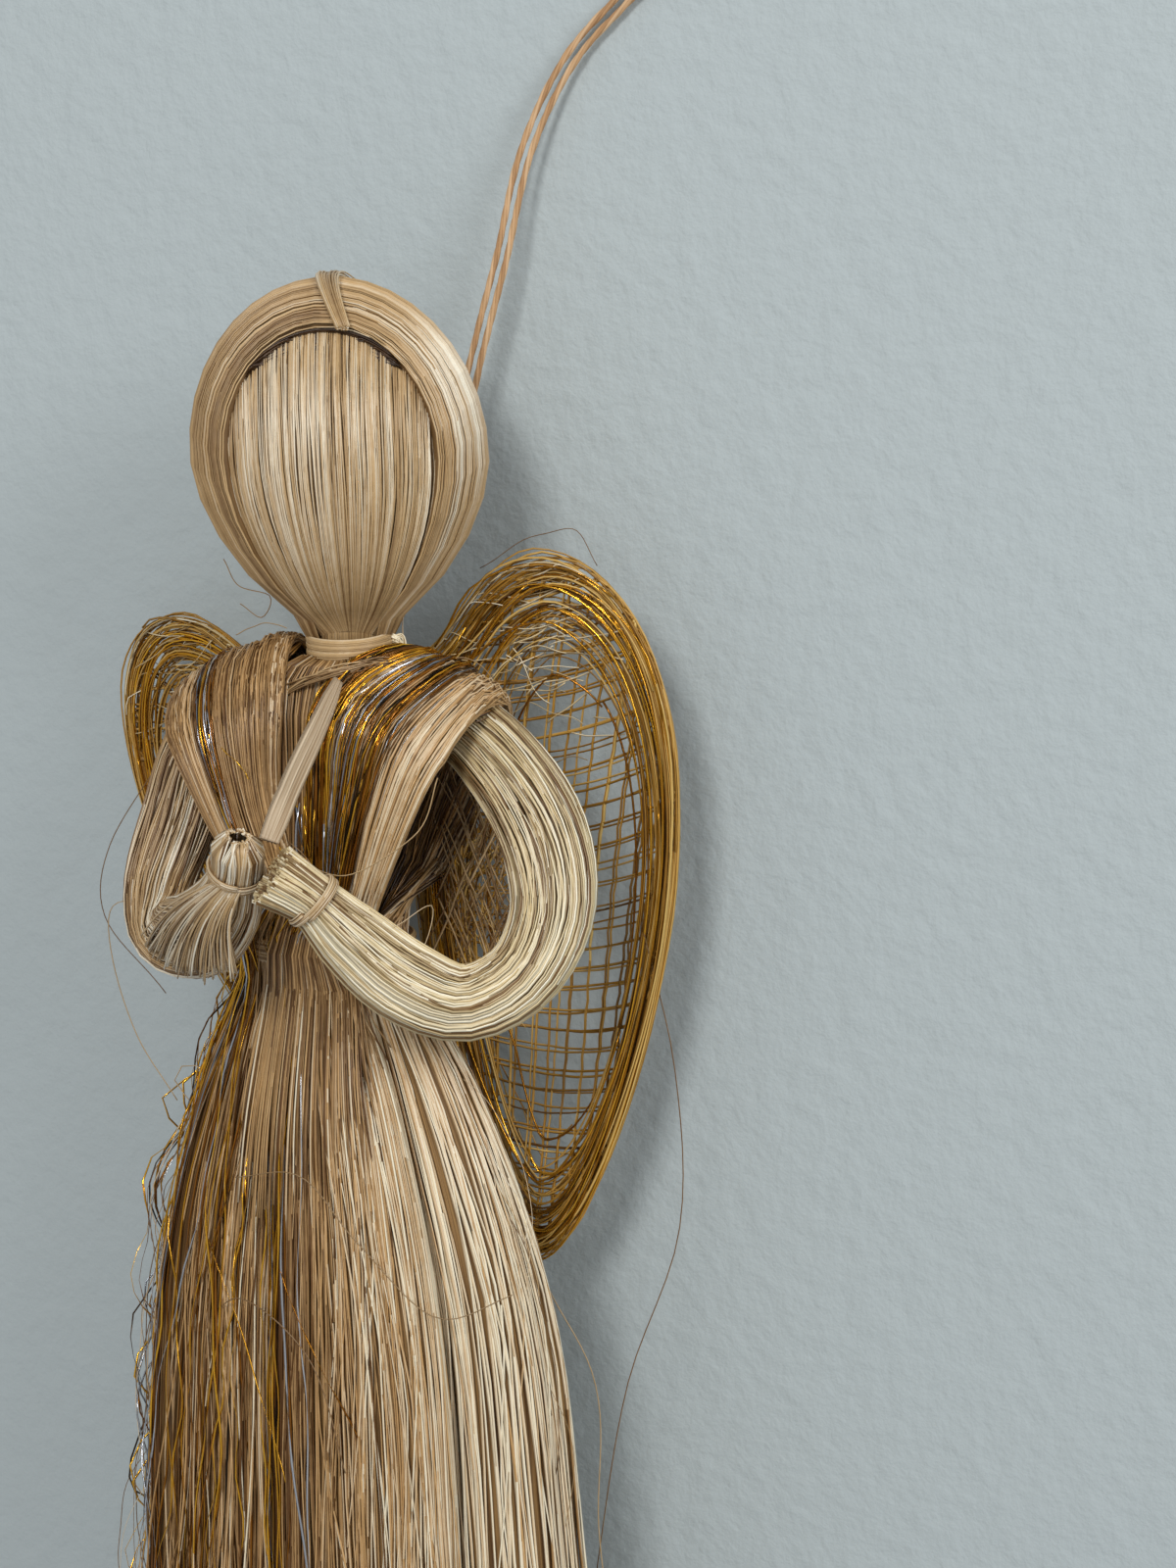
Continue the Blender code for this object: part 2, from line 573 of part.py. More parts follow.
def main():
    """Build the angel."""
    for old in list(bpy.data.objects):
        bpy.data.objects.remove(old)
    frame = bpy.data.objects.new("neck_frame", None)
    frame.location = -np.array(BIGHT) * MM
    bpy.context.scene.collection.objects.link(frame)

    golden = material("golden_straw", (0.60, 0.41, 0.20), 0.45)
    pale = material("pale_straw", (0.76, 0.62, 0.38), 0.45)
    net = material("wing_net", (0.38, 0.23, 0.07), 0.5)
    twine = material("loop_twine", (0.52, 0.33, 0.17), 0.7)

    arms_cutter = loft("arms_space", arm_rings(CLEAR), pale, frame)
    core_cutter = loft("core_space", stacked(core_rows(CLEAR), round_outline(CORE_SIDES, 0.0)), golden, frame)
    neck = NECK_RADIUS + CLEAR + HAIR_NECK_THICKNESS
    neck_cutter = make_neck_cutter(neck, golden, frame)
    make_core(golden, frame, arms_cutter)
    make_hair(golden, frame)
    make_parting_tie(golden, frame)
    loft("arms_hank", arm_rings(), pale, frame)
    make_wrist_binding("left_wrist_binding", LEFT_WRIST_INDEX, pale, frame)
    make_wrist_binding("right_wrist_binding", RIGHT_WRIST_INDEX, pale, frame)

    shoulder_cutters = (arms_cutter, core_cutter, neck_cutter)
    make_shoulder_hank("right_shoulder_hank", RIGHT_SHOULDER, RIGHT_FRONT_LOCK, RIGHT_BACK_LOCK, golden,
                       frame, shoulder_cutters)
    make_shoulder_hank("left_shoulder_hank", LEFT_SHOULDER, LEFT_FRONT_LOCK, LEFT_BACK_LOCK, golden,
                       frame, shoulder_cutters)

    tilt = (0.0, np.cos(NECK_TILT), np.sin(NECK_TILT))
    wrap("neck_binding", (0, 0, 0), (1, 0, 0), tilt, neck, neck, NECK_TURNS, STRAND, pale, frame, 20)
    waist = WAIST_HEIGHT + np.linspace(-0.5, 0.5, 5) * WAIST_TURNS * STRAND
    middle_x, middle_y, wide, deep, _, _ = [float(value.max()) for value in skirt_at(waist)]
    wrap("waist_binding", (middle_x, middle_y, WAIST_HEIGHT), (1, 0, 0), (0, 1, 0), wide + WAIST_SLACK,
         deep + WAIST_SLACK, WAIST_TURNS, STRAND, golden, frame, 20)
    make_strip(pale, frame)
    wrap("wing_tie", (0, tie_depth(), ROOT_HEIGHT), (0, 1, 0), (0, 0, 1), ROOT_RADIUS, ROOT_RADIUS, TIE_TURNS,
         STRAND, golden, frame, 14)

    make_wing("right_wing", 1, RIGHT_WING, net, frame)
    make_wing("left_wing", -1, LEFT_WING, net, frame)
    make_loop(twine, frame)


if __name__ == "__main__":
    main()
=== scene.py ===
"""Looks of the hanging straw angel: each hank is dressed as the bundle of separate fibres that it is.

Shapes are worked out in millimetres in the neck's frame, as in the part's own source: the neck binding is
at zero, the chest faces -Y, and left and right are the viewer's. Meshes are moved from there to the frame's
origin, the top of the hanging loop, and turned to metres.
"""
import logging
from dataclasses import dataclass, field
from enum import Enum

import bpy
import numpy as np
from numpy.typing import NDArray
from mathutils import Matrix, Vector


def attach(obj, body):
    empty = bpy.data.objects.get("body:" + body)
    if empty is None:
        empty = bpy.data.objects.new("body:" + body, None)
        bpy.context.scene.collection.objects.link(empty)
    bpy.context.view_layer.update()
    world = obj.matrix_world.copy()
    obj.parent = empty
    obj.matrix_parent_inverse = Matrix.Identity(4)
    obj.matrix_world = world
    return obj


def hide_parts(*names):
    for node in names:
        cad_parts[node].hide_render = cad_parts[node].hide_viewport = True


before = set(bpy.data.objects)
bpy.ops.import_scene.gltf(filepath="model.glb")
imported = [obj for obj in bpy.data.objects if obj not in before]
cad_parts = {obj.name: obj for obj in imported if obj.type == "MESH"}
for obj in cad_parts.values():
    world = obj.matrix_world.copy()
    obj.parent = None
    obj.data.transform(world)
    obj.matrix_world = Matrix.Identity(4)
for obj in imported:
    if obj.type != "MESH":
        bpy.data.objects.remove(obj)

Array = NDArray[np.float64]
Rng = np.random.Generator
Colour = tuple[float, float, float]
Place = tuple[float, float, float]

logging.basicConfig(level=logging.INFO, format="%(message)s")
log = logging.getLogger("angel")

MM = 0.001
BIGHT = np.array([30.0, 20.0, 71.4])
FACE_TURN = np.radians(23.0)
FACING = np.array([np.sin(FACE_TURN), -np.cos(FACE_TURN), 0.0])
ACROSS = np.array([np.cos(FACE_TURN), np.sin(FACE_TURN), 0.0])
RIGHT = np.array([1.0, 0.0, 0.0])
BACK = np.array([0.0, 1.0, 0.0])
UP = np.array([0.0, 0.0, 1.0])

# Directions that the rings of fibres are measured from, which no fibre there follows
FRONT = np.array([0.4, -0.9, 0.1])
WING_FRONT = np.array([0.2, -1.0, 0.15])

# Slots of the record
GOLDEN_SLOT, PALE_SLOT = "golden_straw", "pale_straw"
NET_SLOT, TWINE_SLOT = "wing_net", "loop_twine"

# Millimetres above the neck binding
WAIST_HEIGHT, HEM_HEIGHT = -31.2, -144.6


# Curves and random numbers

def unit(vectors: Array) -> Array:
    """Vectors of length one."""
    return vectors / np.maximum(np.linalg.norm(vectors, axis=-1, keepdims=True), 1e-12)


def bell(value: Array, middle: float, width: float) -> Array:
    """Bump of height one at the middle, which dies away over the width on both sides."""
    return np.exp(-(((value - middle) / width) ** 2))


def bound(value: Array) -> Array:
    """Value kept between zero and one."""
    return np.clip(value, 0.0, 1.0)


def arc(value: Array) -> Array:
    """Height of the unit circle at a place on its width, and zero past its ends."""
    return np.sqrt(bound(1 - value**2))


def steps_row(steps: int, first: float = 0.0, last: float = 1.0) -> Array:
    """Even steps from first to last, as one row for all fibres."""
    return np.linspace(first, last, steps)[None, :]


def smooth(rows: Array, count: int) -> Array:
    """Read rows of numbers evenly along a smooth curve.

    Each stretch is a cubic that keeps the value and the slope of its two rows, and the stretches are then
    read at equal steps of length.

    Args:
        rows: One row a place; the first three columns are the place.
        count: Rows wanted.

    Returns:
        Rows at equal steps along the curve.
    """
    rows = np.asarray(rows, float)
    step = np.sqrt(np.linalg.norm(np.diff(rows[:, :3], axis=0), axis=1))
    knot = np.concatenate([[0.0], np.cumsum(step)])
    slope = np.gradient(rows, knot, axis=0)
    fine = np.linspace(0.0, knot[-1], 24 * count)
    cell = np.clip(np.searchsorted(knot, fine, side="right") - 1, 0, len(rows) - 2)
    width = (knot[cell + 1] - knot[cell])[:, None]
    t = (fine[:, None] - knot[cell][:, None]) / width
    dense = ((2 * t**3 - 3 * t**2 + 1) * rows[cell] + (t**3 - 2 * t**2 + t) * width * slope[cell]
             + (3 * t**2 - 2 * t**3) * rows[cell + 1] + (t**3 - t**2) * width * slope[cell + 1])
    run = np.concatenate([[0.0], np.cumsum(np.linalg.norm(np.diff(dense[:, :3], axis=0), axis=1))])
    even = np.linspace(0.0, run[-1], count)
    return np.stack([np.interp(even, run, column) for column in dense.T], axis=1)


def drift(rng: Rng, count: int, steps: int, size: float, waves: int = 4) -> Array:
    """Smooth wandering of fibres: a few sine waves of random phase, each smaller than the last.

    Args:
        rng: Source of the phases.
        count: Fibres.
        steps: Points on each.
        size: Typical size of the wander.
        waves: Half waves in the finest of them.

    Returns:
        One number for each point of each fibre.
    """
    t = np.linspace(0.0, 1.0, steps)
    wave = np.arange(1, waves + 1)[:, None]
    phase = rng.uniform(0.0, 2 * np.pi, (count, waves, 1))
    height = rng.normal(0.0, 1.0, (count, waves, 1)) / wave
    return size * (height * np.sin(np.pi * wave * t + phase)).sum(axis=1)


def locks(rng: Rng, count: int, groups: int, spread: float = 0.4,
          tone: float = 0.14) -> tuple[Array, Array]:
    """Gather fibres into locks: each lies near its lock's middle and shares some of its tone.

    Args:
        rng: Source of the places and tones.
        count: Fibres.
        groups: Locks.
        spread: How far the fibres stray from the middle, as a share of a lock's width.
        tone: Typical difference in tint between locks.

    Returns:
        Place of each fibre from 0 to 1, and the shift of its tint.
    """
    member = rng.integers(0, groups, count)
    middle = (np.arange(groups) + rng.uniform(0.2, 0.8, groups)) / groups
    place = middle[member] + rng.normal(0.0, spread / groups, count)
    shift = rng.normal(0.0, tone, groups)[member] + rng.normal(0.0, 0.8 * tone, count)
    return bound(place), shift


# Meshes

def show(name: str, data: bpy.types.ID) -> bpy.types.Object:
    """Object with its data, in the scene."""
    shown = bpy.data.objects.new(name, data)
    bpy.context.scene.collection.objects.link(shown)
    return shown


def make_piece(name: str, points: Array, face_sets: list[Array], finish: "Finish",
               nodes: tuple[str, ...], tint: Array | None = None,
               uv: Array | None = None) -> bpy.types.Object:
    """Make one mesh piece of the angel, which rides on its body.

    Args:
        name: Name of the piece.
        points: Points in millimetres in the neck's frame.
        face_sets: Arrays of faces, each with its own count of corners.
        finish: Finish of the piece.
        nodes: Nodes of the frame that it stands for.
        tint: A number from 0 to 1 for each point, read by the material.
        uv: A place on the surface in millimetres for each point.

    Returns:
        The piece.
    """
    mesh = bpy.data.meshes.new(name)
    corners = np.concatenate([faces.ravel() for faces in face_sets])
    counts = np.concatenate([np.full(len(faces), faces.shape[1]) for faces in face_sets])
    starts = np.concatenate([[0], np.cumsum(counts)[:-1]])
    mesh.vertices.add(len(points))
    mesh.vertices.foreach_set("co", ((points - BIGHT) * MM).astype(np.float32).ravel())
    mesh.loops.add(len(corners))
    mesh.loops.foreach_set("vertex_index", corners.astype(np.int32))
    mesh.polygons.add(len(counts))
    mesh.polygons.foreach_set("loop_start", starts.astype(np.int32))
    mesh.update(calc_edges=True)
    mesh.polygons.foreach_set("use_smooth", np.ones(len(counts), bool))
    if tint is not None:
        mesh.attributes.new("tint", "FLOAT", "POINT").data.foreach_set("value", tint.astype(np.float32))
    if uv is not None:
        layer = mesh.uv_layers.new(name="lay")
        layer.data.foreach_set("uv", uv[corners].astype(np.float32).ravel())
    mesh.materials.append(finish.material)
    piece = show(name, mesh)
    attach(piece, "root")
    if nodes:
        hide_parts(*nodes)
    log.info("%s: %d triangles", name, int((counts - 2).sum()))
    return piece


def grid_faces(levels: int, sides: int, closed: bool = True) -> Array:
    """Four-cornered faces of a grid whose points run round each level in turn.

    Args:
        levels: Levels of the grid.
        sides: Points on each level.
        closed: Whether the last point of a level joins its first.

    Returns:
        Faces that point out where the levels go up and the points go clockwise seen from above.
    """
    level = np.arange(levels - 1)[:, None] * sides
    side = np.arange(sides if closed else sides - 1)[None, :]
    beside = (side + 1) % sides
    faces = np.stack([level + side, level + side + sides, level + beside + sides, level + beside], axis=2)
    return faces.reshape(-1, 4)


def per_point(value: Array | float, number: int, steps: int) -> Array:
    """Give each point of each fibre its value, from one for all, one for each fibre or one for each point."""
    return np.broadcast_to(np.reshape(value, np.shape(value) + (1,) * (2 - np.ndim(value))), (number, steps))


@dataclass
class Strands:
    """Many thin fibres gathered into one mesh."""

    sides: int = 3
    points: list[Array] = field(default_factory=list)
    faces: list[Array] = field(default_factory=list)
    caps: list[Array] = field(default_factory=list)
    tints: list[Array] = field(default_factory=list)
    count: int = 0

    def add(self, paths: Array, radius: Array | float, tint: Array, facing: Array, flat: float = 1.0,
            roll: Array | float = 0.0) -> "Strands":
        """Add tubes: a small ring of points square to each path, joined from point to point.

        Args:
            paths: Points of each fibre, in millimetres.
            radius: Half width of the fibres, for all, for each, or for each point.
            tint: A number from 0 to 1 for each fibre, or for each point.
            facing: Direction that the rings are measured from, never along a fibre.
            flat: Thickness as a share of the width.
            roll: Turn of the ring about the fibre, for all or for each point.

        Returns:
            The same strands.
        """
        number, steps = paths.shape[:2]
        radius = per_point(radius, number, steps)[..., None, None]
        roll = np.broadcast_to(roll, (number, steps))[..., None]
        along = unit(np.gradient(paths, axis=1))
        beside = unit(np.cross(along, facing))
        rise = np.cross(beside, along)
        wide = np.cos(roll) * beside + np.sin(roll) * rise
        thin = np.cos(roll) * rise - np.sin(roll) * beside
        angle = 2 * np.pi * np.arange(self.sides)[:, None] / self.sides
        ring = np.cos(angle) * wide[:, :, None] + flat * np.sin(angle) * thin[:, :, None]
        self.points.append((paths[:, :, None] + radius * ring).reshape(-1, 3))
        each = self.count + (np.arange(number) * steps * self.sides)[:, None]
        self.faces.append((grid_faces(steps, self.sides)[None] + each[..., None]).reshape(-1, 4))
        first = np.arange(self.sides)
        self.caps.append(each + first)
        self.caps.append(each + (steps - 1) * self.sides + first[::-1])
        self.tints.append(np.repeat(per_point(tint, number, steps).ravel(), self.sides))
        self.count += number * steps * self.sides
        return self

    def piece(self, name: str, finish: "Finish", slot: str,
              nodes: tuple[str, ...] = ()) -> bpy.types.Object:
        """Make the mesh of all the fibres added so far."""
        return make_piece(name, np.concatenate(self.points), [*self.faces, *self.caps], finish, nodes,
                          tint=np.concatenate(self.tints))


def make_sheet(name: str, points: Array, finish: "Finish", node: str, uv: tuple[Array, Array]) -> None:
    """Make an open sheet of packed straw from rows of points.

    Args:
        name: Name of the piece.
        points: Points in rows.
        finish: Finish of the piece.
        node: Node that it stands for.
        uv: The two places on the surface, in millimetres.
    """
    levels, sides = points.shape[:2]
    make_piece(name, points.reshape(-1, 3), [grid_faces(levels, sides, False)], finish, (node,),
               tint=np.full(levels * sides, 0.5), uv=np.stack(uv, axis=2).reshape(-1, 2))


@dataclass
class Skin:
    """Surface of a hank: rings of points along it, read between the rings and round them."""

    rings: Array
    normals: Array = field(init=False)
    run: Array = field(init=False)

    def __post_init__(self) -> None:
        """Work out the outward normals, and how far along the hank each ring lies."""
        along = np.gradient(self.rings, axis=0)
        around = np.roll(self.rings, -1, axis=1) - np.roll(self.rings, 1, axis=1)
        normal = unit(np.cross(around, along))
        outward = np.sum(normal * (self.rings - self.rings.mean(axis=1, keepdims=True))) > 0
        self.normals = normal if outward else -normal
        step = np.linalg.norm(np.diff(self.rings, axis=0), axis=2).mean(axis=1)
        self.run = np.concatenate([[0.0], np.cumsum(step)])

    def place(self, share: Array, turn: Array, lift: Array | float = 0.0) -> Array:
        """Points on the hank, or off it along the normal.

        Between rings it is a cubic through the two rings before and the two after, and round a ring it is
        straight between neighbours.

        Args:
            share: How far along the hank, from 0 to 1 of its length.
            turn: How far round it, in turns.
            lift: Height above the surface in millimetres.

        Returns:
            One point for each of the numbers given.
        """
        levels, sides = self.rings.shape[:2]
        share, turn = np.broadcast_arrays(share, turn)
        at = np.interp(bound(share) * self.run[-1], self.run, np.arange(levels))
        row = np.clip(np.floor(at).astype(int), 0, levels - 2)
        t = (at - row)[..., None]
        column = np.mod(turn, 1.0) * sides
        low = np.floor(column).astype(int)
        s = (column - low)[..., None]
        weights = (-t**3 + 2 * t**2 - t, 3 * t**3 - 5 * t**2 + 2, -3 * t**3 + 4 * t**2 + t, t**3 - t**2)
        point, normal = 0.0, 0.0
        for shift, weight in zip((-1, 0, 1, 2), weights):
            ring = np.clip(row + shift, 0, levels - 1)
            for side, part in ((low % sides, 1 - s), ((low + 1) % sides, s)):
                point = point + 0.5 * weight * part * self.rings[ring, side]
                normal = normal + 0.5 * weight * part * self.normals[ring, side]
        return point + np.asarray(lift)[..., None] * unit(normal)

    def bed(self, name: str, finish: "Finish", slot: str, nodes: tuple[str, ...], sink: float,
            levels: int, sides: int, span: tuple[float, float] = (0.0, 1.0)) -> bpy.types.Object:
        """Closed skin just under the fibres, with a flat end at both ends.

        Args:
            name: Name of the piece.
            finish: Finish of the piece.
            slot: Slot of the record; not used.
            nodes: Nodes that it stands for.
            sink: Depth under the surface in millimetres.
            levels: Rings along it.
            sides: Points round it.
            span: Shares of the length that it runs between.

        Returns:
            The piece.
        """
        share, turn = np.meshgrid(np.linspace(*span, levels), np.arange(sides) / sides, indexing="ij")
        points = self.place(share, turn, np.full(share.shape, -sink))
        faces = grid_faces(levels, sides)
        around = points[:, 1] - points[:, 0]
        outward = np.cross(points[1:, 0] - points[:-1, 0], around[:-1])
        flip = np.sum(outward * (points[:-1, 0] - points[:-1].mean(axis=1))) < 0
        ring = np.arange(sides)
        caps = np.stack([ring, (levels - 1) * sides + ring[::-1]])
        if flip:
            faces, caps = faces[:, ::-1], caps[:, ::-1]
        girth = np.linalg.norm(around, axis=1).max() * sides
        uv = np.stack([turn * girth, share * self.run[-1]], axis=2).reshape(-1, 2)
        return make_piece(name, points.reshape(-1, 3), [faces, caps], finish, nodes,
                          tint=np.full(levels * sides, 0.2), uv=uv)


# Shader graphs

@dataclass
class Socket:
    """Output of a node, which adds Math nodes when it stands in an expression."""

    graph: "Graph"
    source: bpy.types.NodeSocket

    def join(self, operation: str, left: "Socket | float", right: "Socket | float") -> "Socket":
        """Math node of one operation on two values."""
        return self.graph.node("ShaderNodeMath", {"operation": operation}, {0: left, 1: right})

    def __add__(self, other: "Socket | float") -> "Socket":
        """Sum."""
        return self.join("ADD", self, other)

    def __sub__(self, other: "Socket | float") -> "Socket":
        """Difference."""
        return self.join("SUBTRACT", self, other)

    def __mul__(self, other: "Socket | float") -> "Socket":
        """Product."""
        return self.join("MULTIPLY", self, other)

    def __rsub__(self, other: float) -> "Socket":
        """Difference from a number."""
        return self.join("SUBTRACT", other, self)

    __radd__ = __add__
    __rmul__ = __mul__


@dataclass
class Graph:
    """Node tree of one material."""

    name: str
    material: bpy.types.Material = field(init=False)

    def __post_init__(self) -> None:
        """Start the material with its shader and output alone."""
        self.material = bpy.data.materials.new(self.name)
        self.material.use_nodes = True

    @property
    def tree(self) -> bpy.types.NodeTree:
        """The material's node tree."""
        return self.material.node_tree

    def node(self, kind: str, settings: dict | None = None, inputs: dict | None = None,
             output: int | str = 0) -> Socket:
        """Add a node.

        Args:
            kind: Type of the node.
            settings: Its own settings; stops are the rising places of a ramp and its screen colours.
            inputs: Values or links of its sockets.
            output: Output wanted.

        Returns:
            That output.
        """
        made = self.tree.nodes.new(kind)
        for key, value in (settings or {}).items():
            if key == "stops":
                elements = made.color_ramp.elements
                for place, _ in value[1:-1]:
                    elements.new(place)
                for element, (place, colour) in zip(elements, value):
                    element.position, element.color = place, (*linear(colour), 1.0)
            else:
                setattr(made, key, value)
        self.feed(made, inputs or {})
        return Socket(self, made.outputs[output])

    def feed(self, made: bpy.types.Node, inputs: dict) -> None:
        """Set or link the sockets of a node."""
        for key, value in inputs.items():
            if isinstance(value, Socket):
                self.tree.links.new(value.source, made.inputs[key])
            else:
                made.inputs[key].default_value = value

    def place(self) -> Socket:
        """Object coordinates."""
        return self.node("ShaderNodeTexCoord", output="Object")

    def tint(self) -> Socket:
        """The piece's own tint."""
        return self.node("ShaderNodeAttribute", {"attribute_name": "tint"}, output="Fac")

    def noise(self, place: Socket, scale: float, detail: float) -> Socket:
        """Noise at a place."""
        return self.node("ShaderNodeTexNoise", inputs={"Vector": place, "Scale": scale, "Detail": detail})

    def ramp(self, factor: Socket, *stops: tuple[float, Colour]) -> Socket:
        """Colour at a factor, between stops that rise."""
        return self.node("ShaderNodeValToRGB", {"stops": stops}, {"Fac": factor})

    def bump(self, height: Socket, strength: float, distance: float) -> Socket:
        """Normal of a height, whose distance is in metres."""
        return self.node("ShaderNodeBump",
                         inputs={"Height": height, "Strength": strength, "Distance": distance})

    def surface(self, inputs: dict) -> bpy.types.Material:
        """Set the shader's sockets, and give the material."""
        self.feed(self.tree.nodes["Principled BSDF"], inputs)
        return self.material


def linear(colour: Colour) -> Colour:
    """Scene colour of a colour written as a screen shows it, each part from 0 to 255."""
    share = np.array(colour) / 255.0
    return tuple(np.where(share <= 0.04045, share / 12.92, ((share + 0.055) / 1.055) ** 2.4).tolist())


@dataclass(frozen=True)
class StrawFinish:
    """Combed straw fibre: each fibre has its own tint, which shifts a little along its length."""

    name: str
    dark: Colour
    middle: Colour
    light: Colour
    roughness: float = 0.34
    specular: float = 0.55

    def make(self) -> bpy.types.Material:
        """Colour from the fibre's tint, shifted by a slow and a fine noise."""
        graph = Graph(self.name)
        place, tint = graph.place(), graph.tint()
        slow, fine = graph.noise(place, 150.0, 3.0), graph.noise(place, 1400.0, 2.0)
        share = tint + (slow - 0.5) * 0.22 + (fine - 0.5) * 0.16
        colour = graph.ramp(share, (0.0, self.dark), (0.5, self.middle), (1.0, self.light))
        rough = (1 - tint) * 0.12 + (self.roughness - 0.06)
        return graph.surface({"Base Color": colour, "Roughness": rough, "Specular IOR Level": self.specular})


@dataclass(frozen=True)
class BedFinish:
    """Packed fibre under the loose ones: streaks that follow the hank."""

    name: str
    dark: Colour
    light: Colour
    roughness: float = 0.5
    fineness: float = 5.0
    specular: float = 0.35

    def make(self) -> bpy.types.Material:
        """Streaks from noise stretched along the hank, in colour and in height."""
        graph = Graph(self.name)
        lay = graph.node("ShaderNodeUVMap", {"uv_map": "lay"})
        long = graph.node("ShaderNodeMapping", inputs={"Vector": lay, "Scale": (self.fineness, 0.05, 1.0)})
        streak = graph.noise(long, 1.0, 4.0)
        colour = graph.ramp(streak, (0.32, self.dark), (0.72, self.light))
        return graph.surface({"Base Color": colour, "Normal": graph.bump(streak, 0.8, 0.0003),
                              "Roughness": self.roughness, "Specular IOR Level": self.specular})


@dataclass(frozen=True)
class TinselFinish:
    """Metallic thread: each thread has its own tone, which changes slowly along it."""

    name: str
    dark: Colour
    light: Colour
    roughness: float = 0.18
    metal: float = 0.85

    def make(self) -> bpy.types.Material:
        """Metal whose colour moves between two tones."""
        graph = Graph(self.name)
        noise = graph.noise(graph.place(), 120.0, 1.0)
        colour = graph.ramp(graph.tint() + (noise - 0.5) * 0.5, (0.1, self.dark), (0.9, self.light))
        return graph.surface({"Base Color": colour, "Metallic": self.metal, "Roughness": self.roughness})


class Finish(Enum):
    """Finishes of the angel."""

    STRAW = StrawFinish("straw", (122, 88, 50), (206, 174, 126), (250, 242, 222))
    PALE = StrawFinish("pale_fibre", (124, 90, 46), (222, 200, 152), (253, 243, 216), roughness=0.3)
    SKIRT = StrawFinish("skirt_straw", (102, 66, 24), (206, 166, 112), (250, 238, 210))
    NET = StrawFinish("net_fibre", (100, 64, 12), (182, 134, 48), (226, 190, 112), roughness=0.4)
    # Near-black straw for painted shade: the shadow under the hood's edge, the core in the gaps between the
    # skirt's locks, and the inner side of the chest under the arms.
    DARK = StrawFinish("painted_shade_straw", (30, 19, 10), (92, 60, 26), (172, 124, 60))
    TWINE = StrawFinish("twine", (146, 104, 70), (198, 158, 116), (228, 196, 158), 0.7, 0.2)
    # Beds under the loose fibres: straw streaks, and colours darker than the fibres on them as painted shade
    # in the gaps between fibres.
    BED = BedFinish("packed_straw", (80, 52, 22), (176, 138, 86))
    FACE_BED = BedFinish("packed_face_straw", (104, 72, 40), (204, 174, 128))
    PALE_BED = BedFinish("packed_pale_straw", (104, 70, 34), (206, 178, 128))
    # Near-black bed of the core: painted shade in the gaps between the skirt's locks.
    CORE_BED = BedFinish("inner_straw_painted_shade", (34, 21, 10), (100, 66, 30))
    STRIP = BedFinish("strip_straw", (146, 112, 74), (236, 216, 186), roughness=0.26)
    GOLD = TinselFinish("gold_tinsel", (150, 90, 22), (255, 196, 64))
    SILVER = TinselFinish("silver_tinsel", (150, 156, 166), (246, 248, 252))
    SHADE = TinselFinish("dark_tinsel", (34, 24, 10), (164, 104, 26), metal=0.5)

    @property
    def material(self) -> bpy.types.Material:
        """The finish's material, made on its first use."""
        return bpy.data.materials.get(self.value.name) or self.value.make()


# Head

